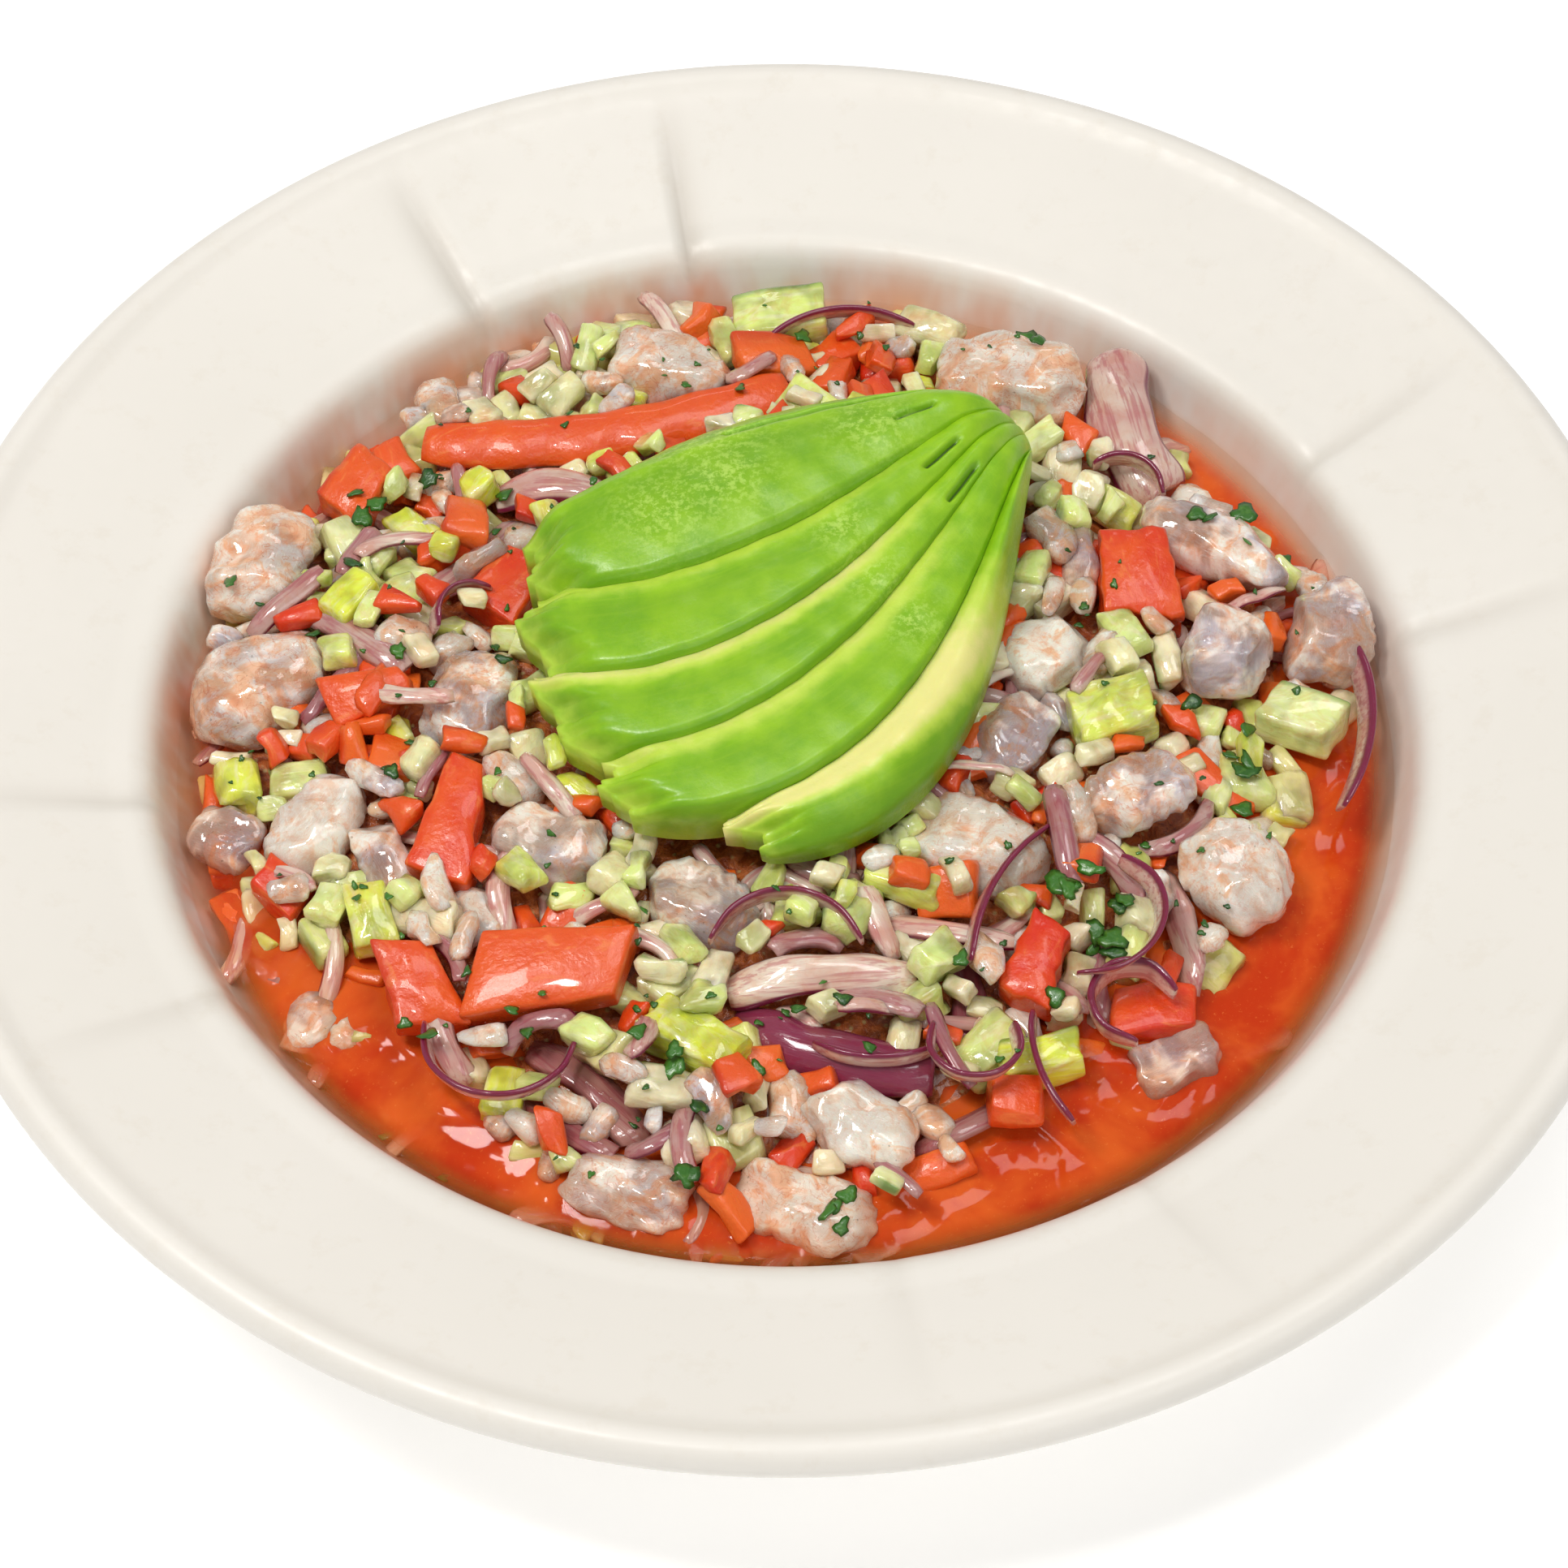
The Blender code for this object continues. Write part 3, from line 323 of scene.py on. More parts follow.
# ---- meshes -------------------------------------------------------------------------------
class Pile:
    """Bodies joined in one mesh, each with its own tone and local place for the material."""

    def __init__(self):
        self.pts, self.quads, self.tris, self.loc, self.tone, self.count = [], [], [], [], [], 0

    def add(self, body, pts, tone):
        """pts are the body's points after placing; tone is one colour or one for each point."""
        base = self.count
        self.pts.append(pts)
        self.quads.append(body.quads + base)
        self.tris.append(body.tris + base)
        self.loc.append(body.pts + tone_shift(base))
        self.tone.append(np.broadcast_to(np.asarray(tone, float), (len(pts), 3)))
        self.count += len(pts)

    def build(self, name, mat, slot, *nodes):
        pts = np.concatenate(self.pts)
        faces = np.concatenate(self.quads).tolist() + np.concatenate(self.tris).tolist()
        mesh = bpy.data.meshes.new(name)
        mesh.from_pydata((pts * MM).tolist(), [], faces)
        mesh.polygons.foreach_set("use_smooth", [True] * len(faces))
        for key, kind, field, rows in (("loc", "FLOAT_VECTOR", "vector", self.loc),
                                       ("tone", "FLOAT_COLOR", "color", self.tone)):
            values = np.concatenate(rows).astype(np.float32)
            if kind == "FLOAT_COLOR":
                values = np.concatenate([values, np.ones((len(values), 1), np.float32)], 1)
            mesh.attributes.new(key, kind, "POINT").data.foreach_set(field, values.ravel())
        mesh.materials.append(mat)
        ob = bpy.data.objects.new(name, mesh)
        bpy.context.scene.collection.objects.link(ob)
        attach(ob, "root")
        if nodes:
            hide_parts(*nodes)


def tone_shift(seed):
    """Every body reads its own stretch of the material's noise."""
    return np.array([(seed * 7.31) % 97.0, (seed * 3.77) % 89.0, (seed * 5.13) % 83.0])


class Body:
    """Points about the body's own middle, with its faces."""

    def __init__(self, pts, quads, tris):
        faces = np.concatenate([tris, quads[:, :3], quads[:, [0, 2, 3]]]) if len(quads) else tris
        a, b, c = (pts[faces[:, m]] for m in range(3))
        flip = np.einsum("ij,ij->i", a, np.cross(b, c)).sum() < 0
        self.pts = pts
        self.quads = quads[:, ::-1] if flip else quads
        self.tris = tris[:, ::-1] if flip else tris


def single(name, mat, slot, body, pts, tone, *nodes):
    """One body as a piece of its own."""
    pile = Pile()
    pile.add(body, pts, tone)
    pile.build(name, mat, slot, *nodes)


def turns(n):
    """Bearings of n points round the circle, in radians."""
    return 2 * math.pi * np.arange(n) / n


def squared(a, power_x, power_y):
    """Cosine and sine of a rounded-off box section."""
    c, s = np.cos(a), np.sin(a)
    return np.sign(c) * np.abs(c) ** power_x, np.sign(s) * np.abs(s) ** power_y


def ring_faces(count, sides, closed=False):
    """Four-sided faces between each ring of points and the next."""
    i = np.arange(sides)
    j = (i + 1) % sides
    pairs = [(k * sides, (k + 1) % count * sides) for k in range(count if closed else count - 1)]
    return np.concatenate([np.stack([a + i, a + j, b + j, b + i], 1) for a, b in pairs])


def loft(rings):
    """Closed body through equal rings of points, with a fan at each end."""
    count, sides, _ = rings.shape
    pts = np.concatenate([rings.reshape(-1, 3), rings[:1].mean(1), rings[-1:].mean(1)])
    i = np.arange(sides)
    j = (i + 1) % sides
    quads = ring_faces(count, sides)
    first, last = count * sides, (count - 1) * sides
    tris = np.concatenate([np.stack([np.full(sides, first), j, i], 1),
                           np.stack([np.full(sides, first + 1), last + i, last + j], 1)])
    return Body(pts, quads, tris)


def lattice(top, bottom):
    """Closed slab between two equal grids of points."""
    rows, cols, _ = top.shape
    pts = np.concatenate([top.reshape(-1, 3), bottom.reshape(-1, 3)])
    a = (np.arange(rows - 1)[:, None] * cols + np.arange(cols - 1)[None, :]).ravel()
    n = rows * cols
    quads = [np.stack([a, a + 1, a + cols + 1, a + cols], 1),
             np.stack([a, a + cols, a + cols + 1, a + 1], 1) + n]
    rim = list(range(cols)) + [r * cols + cols - 1 for r in range(1, rows)]
    rim += [(rows - 1) * cols + c for c in range(cols - 2, -1, -1)]
    rim += [r * cols for r in range(rows - 2, 0, -1)]
    rim = np.array(rim)
    nxt = np.roll(rim, -1)
    quads.append(np.stack([nxt, rim, rim + n, nxt + n], 1))
    return Body(pts, np.concatenate(quads), np.zeros((0, 3), int))


def cube_grid(n):
    """Index triples on the surface of an n x n x n grid, and the faces between them."""
    index, triples = {}, []
    for i in range(n):
        for j in range(n):
            for k in range(n):
                if min(i, j, k) == 0 or max(i, j, k) == n - 1:
                    index[(i, j, k)] = len(triples)
                    triples.append((i, j, k))
    quads = []
    for axis in range(3):
        for level in (0, n - 1):
            for a in range(n - 1):
                for b in range(n - 1):
                    corner = []
                    for da, db in ((0, 0), (1, 0), (1, 1), (0, 1)):
                        p = [a + da, b + db]
                        p.insert(axis, level)
                        corner.append(index[tuple(p)])
                    quads.append(corner if (level == 0) == (axis == 1) else corner[::-1])
    return np.array(triples), np.array(quads)


CUBES = {n: cube_grid(n) for n in (4, 5, 10)}


def wobble(pts, size, wave, rng):
    """Smooth irregular push of the points."""
    out = pts.copy()
    for _ in range(4):
        k = rng.normal(size=3)
        k *= 2 * math.pi / (wave * rng.uniform(0.7, 1.4) * np.linalg.norm(k))
        out += 0.5 * size * np.sin(pts @ k + rng.uniform(0, 6.28))[:, None] * rng.normal(size=3)
    return out


def trimmed(pts, share, count, rng):
    """Knife cuts: planes at random angles press the points that stand out beyond them."""
    out = pts.copy()
    size = np.abs(pts).max(0)
    for _ in range(count):
        n = rng.normal(size=3) / size
        n /= np.linalg.norm(n)
        reach = (pts @ n).max()
        over = np.clip(out @ n - share * reach, 0, None)
        out -= 0.85 * over[:, None] * n
    return out


def dice(length, width, thick, taper, skew, crown, rng, fine=5, edge=0.8, rough=0.25):
    """Diced piece: a slab with rounded edges, tapered, skewed and crowned."""
    triples, quads = CUBES[fine]
    half = np.array([length, width, thick]) / 2
    edge = min(edge, 0.45 * half.min())
    p = np.zeros((len(triples), 3))
    for axis in range(3):
        inner = half[axis] - edge
        steps = np.concatenate([[-half[axis]], np.linspace(-inner, inner, fine - 2), [half[axis]]])
        p[:, axis] = steps[triples[:, axis]]
    q = np.clip(p, -(half - edge), half - edge)
    d = p - q
    p = q + edge * d / np.maximum(np.linalg.norm(d, axis=1), 1e-9)[:, None]
    fx, fy = p[:, 0] / half[0], p[:, 1] / half[1]
    p[:, 2] += np.where(p[:, 2] > 0, crown * (1 - fx ** 2) * (1 - fy ** 2), 0)
    p[:, 0] += skew * p[:, 1]
    p[:, 1] *= 1.0 - taper * (0.5 + 0.5 * fx)
    if fine < 10:
        p = trimmed(p, rng.uniform(0.78, 0.95), 3, rng)
    return Body(wobble(p, rough, 5.0, rng), quads, np.zeros((0, 3), int))


def tail(length, width, height, bend, taper, rng, rings=16, sides=18, ridge=0.07, rough=0.5):
    """Cut length of peeled shrimp: a bent barrel with ring grooves."""
    t = 0.5 - 0.5 * np.cos(math.pi * np.linspace(0.06, 0.94, rings))
    total = math.radians(max(bend, 1.0))
    rad = length / total
    phi = (t - 0.5) * length / rad
    share = (1 - np.abs(2 * t - 1) ** 4.0) ** 0.5 * (1 - taper * (t - 0.5))
    for g in (rng.uniform(0.24, 0.36), rng.uniform(0.52, 0.68)):
        share *= 1 - ridge * np.exp(-((t - g) / 0.035) ** 2)
    a = turns(sides)
    c, s = squared(a, 0.85, 0.85)
    s = s * (1 - 0.10 * np.exp(-((a - math.pi / 2) / 0.25) ** 2))
    w, v = 0.5 * width * share[:, None] * c, 0.5 * height * share[:, None] * s
    x = (rad * np.sin(phi))[:, None] + w * np.sin(phi)[:, None]
    y = (rad * (np.cos(phi) - 1) + rad * (1 - math.cos(total / 2)) * 0.5)[:, None] + w * np.cos(phi)[:, None]
    body = loft(np.stack([x, y, v], 2))
    body.pts = trimmed(body.pts, 0.80, 7, rng)
    body.pts = wobble(wobble(body.pts, rough, 8.0, rng), rough * 0.40, 3.0, rng)
    return body


def strip(length, width, thick, bend, arch, curl, stations=16, sides=10):
    """Curved leaf or strip: bends in plan, arches upwards and cups across its width."""
    t = np.linspace(-0.5, 0.5, stations)
    total, up = math.radians(bend), math.radians(arch)
    h = total * 2 * t
    x, y = t * length * (1 - (total * t) ** 2 * 0.6), -length * total * t ** 2
    z = -length * up * t ** 2
    end = 1 - 0.30 * np.abs(2 * t) ** 9
    w, th = 0.5 * width * end, 0.5 * thick * (1 - 0.4 * np.abs(2 * t) ** 4)
    a = turns(sides)
    q, s = squared(a, 0.7, 0.8)
    wq = w[:, None] * q
    rings = np.stack([x[:, None] + wq * np.sin(h)[:, None], y[:, None] + wq * np.cos(h)[:, None],
                      z[:, None] - curl * 0.22 * width * q ** 2 + th[:, None] * s], 2)
    return loft(rings), np.append(np.tile(q, stations), [0, 0])


def placed(pts, x, y, z, azimuth, tilt=0.0, roll=0.0):
    a, t, r = (math.radians(v) for v in (azimuth, tilt, roll))
    rx = np.array([[1, 0, 0], [0, math.cos(r), -math.sin(r)], [0, math.sin(r), math.cos(r)]])
    ry = np.array([[math.cos(t), 0, -math.sin(t)], [0, 1, 0], [math.sin(t), 0, math.cos(t)]])
    rz = np.array([[math.cos(a), -math.sin(a), 0], [math.sin(a), math.cos(a), 0], [0, 0, 1]])
    return pts @ (rz @ ry @ rx).T + np.array([x, y, z])


# ---- bowl ---------------------------------------------------------------------------------
CREASE_PAIRS = (19.5, 110.5, 201.5, 290.0)
CREASE_SPREAD = 21.5
CREASES = np.array([m + s * CREASE_SPREAD / 2 for m in CREASE_PAIRS for s in (-1, 1)])


def bowl_profile():
    """(r, z) from the middle of the floor over the lip to the middle of the foot's underside."""
    pts = [(r, FLOOR_Z) for r in (0.0, 30.0, 60.0)]
    for phi in np.linspace(0, 68, 14):
        f = math.radians(phi)
        pts.append((FLOOR_R + WELL_RUN * math.sin(f), FLOOR_Z + WELL_RISE * (1 - math.cos(f))))
    pts += [(104.5, 34.0), (105.4, 36.6), (106.2, 38.6), (107.3, 40.0), (108.6, 40.9), (110.4, 41.55)]
    pts += [(r, 40.75 + (r - 109.0) * 0.3125) for r in np.linspace(112.5, 137.5, 16)]
    pts += [(139.0, 50.25), (140.4, 51.2)]
    for a in np.linspace(105, -75, 16):
        f = math.radians(a)
        pts.append((142.6 + 3.4 * math.cos(f), 48.6 + 3.4 * math.sin(f)))
    pts += [(141.2, 45.2), (137.5, 44.2), (124.0, 40.2), (112.0, 36.6)]
    for phi in np.linspace(60, 14, 9):
        f = math.radians(phi)
        length = math.hypot(WELL_RUN * math.cos(f), WELL_RISE * math.sin(f))
        pts.append((FLOOR_R + WELL_RUN * math.sin(f) + WALL * WELL_RISE * math.sin(f) / length,
                    FLOOR_Z + WELL_RISE * (1 - math.cos(f)) - WALL * WELL_RUN * math.cos(f) / length))
    pts += [(71.5, 3.4), (70.6, 0.8), (69.6, 0.0), (65.6, 0.0), (64.6, 0.8), (64.0, 3.2)]    # foot
    pts += [(40.0, 3.2), (0.0, 3.2)]
    return np.array(pts)


def build_bowl(mat):
    profile = bowl_profile()
    n = 480
    a = turns(n)
    ring = profile[1:-1]
    r, z = np.repeat(ring[:, :1], n, 1), np.repeat(ring[:, 1:], n, 1)
    off = (np.degrees(a)[:, None] - CREASES + 180) % 360 - 180
    k = np.abs(off).argmin(1)
    near, sign = off[np.arange(n), k], np.where(k % 2 == 0, -1, 1)
    inner = np.clip(near * -sign, 0, None)        # on the side of the narrow panel
    outer = np.clip(near * sign, 0, None)
    groove_and_painted_shade = np.exp(-(inner / 0.55) ** 2) * np.exp(-(outer / 1.6) ** 2)
    faces_up = (np.arange(len(ring)) < 42) & (ring[:, 0] > 104.6) & (ring[:, 0] < RIM_OUT)
    fade = np.clip((RIM_OUT - ring[:, 0]) / 30.0, 0, 1) ** 0.7
    fade = fade * np.clip((ring[:, 0] - RIM_IN) / 3.0, 0, 1) * faces_up
    groove_and_painted_shade = groove_and_painted_shade * np.array([0.5, 0.5, 1.0, 1.0, 0.55, 0.35, 0.2, 0.2])[k]
    z = z - 1.6 * fade[:, None] * groove_and_painted_shade
    z += 0.25 * (fade[:, None] * np.sin(a * 3 + 1.0)) * 0.4
    pts = [[0, 0, profile[0, 1]]]
    pts += np.stack([r * np.cos(a), r * np.sin(a), z], 2).reshape(-1, 3).tolist()
    pts.append([0, 0, profile[-1, 1]])
    i = np.arange(n)
    j = (i + 1) % n
    quads = 1 + ring_faces(len(ring), n)[:, [0, 3, 2, 1]]
    last = 1 + (len(ring) - 1) * n
    first_fan = np.stack([np.zeros(n, int), 1 + i, 1 + j], 1)
    last_fan = np.stack([last + i, np.full(n, len(pts) - 1), last + j], 1)
    tris = np.concatenate([first_fan, last_fan])
    body = Body(np.array(pts), quads, tris)
    # tone red channel: the crease mask, which darkens the china's colour there as painted shade
    shade = np.concatenate([[0], (fade[:, None] * groove_and_painted_shade).ravel(), [0]])
    well = np.concatenate([[1], np.repeat(np.arange(len(ring)) < LIP_RING, n), [0]])
    tone = np.stack([shade, well, np.zeros(len(shade))], 1)
    single("bowl_china", mat, "china", body, body.pts, tone, "bowl")


def well_z(r):
    """Height of the well's inner surface."""
    s = np.clip((r - FLOOR_R) / WELL_RUN, 0.0, 0.999)
    return FLOOR_Z + WELL_RISE * (1 - np.sqrt(1 - s ** 2))


# ---- heap ---------------------------------------------------------------------------------
def heap_outline(a):
    """Outline radius of the heap: full at the back and left, with broth at the front right."""
    d = np.degrees(a) % 360
    r = np.full(np.shape(a), 91.0)
    for mid, width, change in (
        (172.0, 42.0, 7.0), (95.0, 40.0, 7.0), (55.0, 16.0, 6.0), (13.0, 14.0, 9.0), (335.0, 30.0, -4.0),
        (305.0, 24.0, -8.0), (272.0, 14.0, 6.5), (222.0, 20.0, -7.0), (252.0, 12.0, 4.0), (36.0, 9.0, -3.0),
    ):
        r = r + change * np.exp(-(((d - mid + 180) % 360 - 180) / width) ** 2)
    r = r + 1.1 * np.sin(a * 9 + 0.7) + 0.8 * np.sin(a * 17 + 2.0)
    return np.clip(r, 74.0, 99.0)


def heap_level(x, y):
    """Smooth top of the heap, without the lumps."""
    r, a = np.hypot(x, y), np.arctan2(y, x)
    f = np.clip(r / heap_outline(a), 0, 1)
    left = np.clip(np.cos(a - math.radians(150)), 0, None)
    return 34.0 + 1.6 * left + 7.6 * (1 - f ** 3.2)


CORE_DROP = 5.2


def core_height(x, y):
    base = heap_level(x, y) - CORE_DROP
    coarse = 0.7 * np.sin(x * 0.9 + 1.3 * np.sin(y * 0.5)) * np.sin(y * 0.8 + 0.7)
    return base + coarse + 0.3 * np.sin(x * 2.1 - y * 1.7)


def build_core(mat):
    a = turns(180)
    edge = heap_outline(a)
    rings = []
    for f in np.linspace(0.02, 1.0, 50):
        r = edge * f
        x, y = r * np.cos(a), r * np.sin(a)
        z = core_height(x, y) if f < 0.99 else np.full(180, BROTH_Z - 5.0)
        rings.append(np.stack([x, y, np.maximum(z, well_z(r) + 0.6)], 1))
    for r in (edge - 0.5, 0.5 * (edge + FLOOR_R), np.full(180, 60.0), np.full(180, 2.0)):
        rings.append(np.stack([r * np.cos(a), r * np.sin(a), well_z(r) + 0.5], 1))
    body = loft(np.array(rings))
    # the core shows through the gaps between pieces; its dark colour is partly painted shade
    single("heap_core", mat, "ceviche_mix", body, body.pts, (0, 0, 0), "ceviche_heap")


class Relief:
    """Height map of what has been laid in the bowl so far."""

    cell, half = 0.7, 112.0

    def __init__(self):
        n = int(2 * self.half / self.cell)
        c = (np.arange(n) + 0.5) * self.cell - self.half
        self.x, self.y = np.meshgrid(c, c, indexing="ij")
        r, a = np.hypot(self.x, self.y), np.arctan2(self.y, self.x)
        self.inside = r < heap_outline(a) - 1.0
        self.floor = np.where(r < heap_outline(a), core_height(self.x, self.y), well_z(r))
        self.top = self.floor.copy()
        self.claimed = np.zeros((n, n), bool)

    def spot(self, pts):
        i = np.clip(((pts[:, 0] + self.half) / self.cell).astype(int), 1, len(self.top) - 2)
        j = np.clip(((pts[:, 1] + self.half) / self.cell).astype(int), 1, len(self.top) - 2)
        return i, j

    def stamp(self, pts, claim=False):
        i, j = self.spot(pts)
        i0, j0 = i.min() - 1, j.min() - 1
        own = np.full((i.max() - i0 + 2, j.max() - j0 + 2), -1e3)
        np.maximum.at(own, (i - i0, j - j0), pts[:, 2])
        wide = own.copy()
        for shift in ((1, 0), (-1, 0), (0, 1), (0, -1)):
            wide = np.maximum(wide, np.roll(own, shift, (0, 1)) - 0.3)
        block = (slice(i0, i0 + own.shape[0]), slice(j0, j0 + own.shape[1]))
        wide = wide[:self.top[block].shape[0], :self.top[block].shape[1]]
        if claim:
            self.claimed[block] |= wide > self.top[block] + 0.5
        self.top[block] = np.maximum(self.top[block], wide)

    def rest(self, pts, sink):
        """How far to lift the points to rest on what is there, with a share of the foot sunk in."""
        low = pts[pts[:, 2] < np.median(pts[:, 2]) + 0.2]
        i, j = self.spot(low)
        return float(np.quantile(self.top[i, j] - low[:, 2], 1 - sink))

    def taken(self, pts):
        i, j = self.spot(pts)
        return float(self.claimed[i, j].mean())


def dense(body, pts):
    """Points of the body's surface close enough together to stamp."""
    out = [pts]
    if len(body.quads):
        q = pts[body.quads]
        out += [q.mean(1), (q[:, 0] + q[:, 1]) / 2, (q[:, 1] + q[:, 2]) / 2]
    if len(body.tris):
        out.append(pts[body.tris].mean(1))
    return np.concatenate(out)


# ---- avocado ------------------------------------------------------------------------------
STEM_X, STEM_Y, STEM_R = 37.5, 48.0, 5.5
AVO_BOTTOM = 44.3
AVO_STEP = 2.4
# boundary lines, back to front: bearing on the stem cap, heading, turn, length, bend power, crest
FAN = (
    (118.0, -206.0, 67.0, 86.0, 0.5, 58.0),
    (95.0, -176.0, 23.0, 86.0, 0.5, 62.5),
    (72.0, -140.0, -52.0, 91.0, 3.0, 62.0),
    (52.0, -128.0, -68.0, 102.0, 3.0, 60.5),
    (32.0, -120.0, -67.0, 107.0, 3.0, 59.0),
    (10.0, -108.0, -95.0, 117.0, 2.8, 56.5),
    (-15.0, -99.0, -82.0, 102.0, 3.0, 48.5),
)
# slices: end on the back line, end on the front line, roundness, crown, width of the pale band, columns
SLICES = (
    (0.90, 0.82, 0.00, 0.8, 0.0, 24),
    (1.00, 1.00, 0.02, 2.2, 0.0, 64),
    (1.05, 1.00, 0.035, 1.6, 3.0, 52),
    (1.04, 1.00, 0.03, 1.4, 3.6, 44),
    (0.99, 1.00, 0.01, 1.2, 4.2, 44),
    (0.86, 1.00, 0.00, 2.6, 14.0, 52),
)
AVO_ROWS = 150
def fan_lines():
    """Each boundary line as 400 points from u = 0 to u = 1.1."""
    out = []
    for bearing, heading, turn, length, power, _ in FAN:
        b = math.radians(bearing)
        us = np.linspace(0, 1.1, 400)
        row = []
        s = (np.arange(60) + 0.5) / 60
        for u in us:
            h = np.radians(heading + turn * (u * s) ** power)
            row.append((STEM_X + STEM_R * math.cos(b) + np.cos(h).mean() * length * u,
                        STEM_Y + STEM_R * math.sin(b) + np.sin(h).mean() * length * u))
        out.append(np.array(row))
    return np.array(out)


LINES = fan_lines()


def fan_point(line, u):
    us = np.linspace(0, 1.1, 400)
    return np.stack([np.interp(u, us, LINES[line][:, 0]), np.interp(u, us, LINES[line][:, 1])], -1)


def on_slice(k, across, u):
    """Plan point on slice k: across from 0 at its back line to 1 at its front line."""
    return fan_point(k, u) * (1 - across) + fan_point(k + 1, u) * across


def splits():
    """Thin splits near the stem, painted near-black as the shade inside them: a long one on the back slice
    and short nicks on the next ones.
    """
    out = [[on_slice(0, 0.75, u) for u in (0.16, 0.30, 0.44, 0.56)]]
    out += [[on_slice(k, 0.4 + 0.1 * k, u) for u in (0.17, 0.21, 0.25)] for k in (1, 2, 3)]
    return out


def patches():
    """Patches of painted sheen, lighter green speckles standing in for the gloss of the wet flesh, as (x, y,
    radius): large on the back slices, small on the others.
    """
    spots = [(0, 0.6, 0.60, 11.0), (1, 0.4, 0.62, 9.0), (1, 0.5, 0.75, 8.0), (1, 0.4, 0.30, 7.0)]
    spots += [(k, 0.5, 0.45, 5.0) for k in (2, 3, 4)]
    return [(*on_slice(k, across, u), radius) for k, across, u, radius in spots]


def smooth(value, lo, hi):
    t = np.clip((value - lo) / (hi - lo), 0, 1)
    return t * t * (3 - 2 * t)


def fan_height(k, v, u):
    crown = SLICES[k][3]
    step = AVO_STEP * np.clip((u - 0.16) / 0.34, 0, 1) if k > 1 else 0 * u
    back, front = FAN[k][5] - step, FAN[k + 1][5]
    vc = np.clip(v, 0, 1)
    if k == len(SLICES) - 1:
        side = np.clip((vc - 0.45) / 0.55, 0, None)
        z = back + crown * np.sin(math.pi * np.minimum(vc / 0.9, 1)) * 0.6
        z = z + (front - back) * (1 - np.sqrt(1 - 0.98 * side ** 2))
    elif k == 0:
        z = back + (front - back) * np.sin(0.5 * math.pi * vc)
    else:
        z = back + (front - back) * vc + crown * np.sin(math.pi * (0.08 + 0.84 * vc))
        z = z - 0.7 * smooth(vc, 0.93, 1.0)
    nose = np.sqrt(np.clip(1 - (1 - np.clip(u / 0.16, 0, 1)) ** 2, 0, 1))
    tail_off = 1 - 0.30 * np.clip((u - 0.55) / 0.45, 0, None) ** 1.8
    return AVO_BOTTOM + 2 + (z - AVO_BOTTOM - 2) * (0.22 + 0.78 * nose) * tail_off


def near_lines(x, y, lines):
    """Distance from each point to the nearest of some polylines."""
    best = np.full(x.shape, 1e3)
    for line in lines:
        for (ax, ay), (bx, by) in zip(line, line[1:]):
            dx, dy = bx - ax, by - ay
            t = np.clip(((x - ax) * dx + (y - ay) * dy) / (dx * dx + dy * dy), 0, 1)
            best = np.minimum(best, np.hypot(x - ax - t * dx, y - ay - t * dy))
    return best


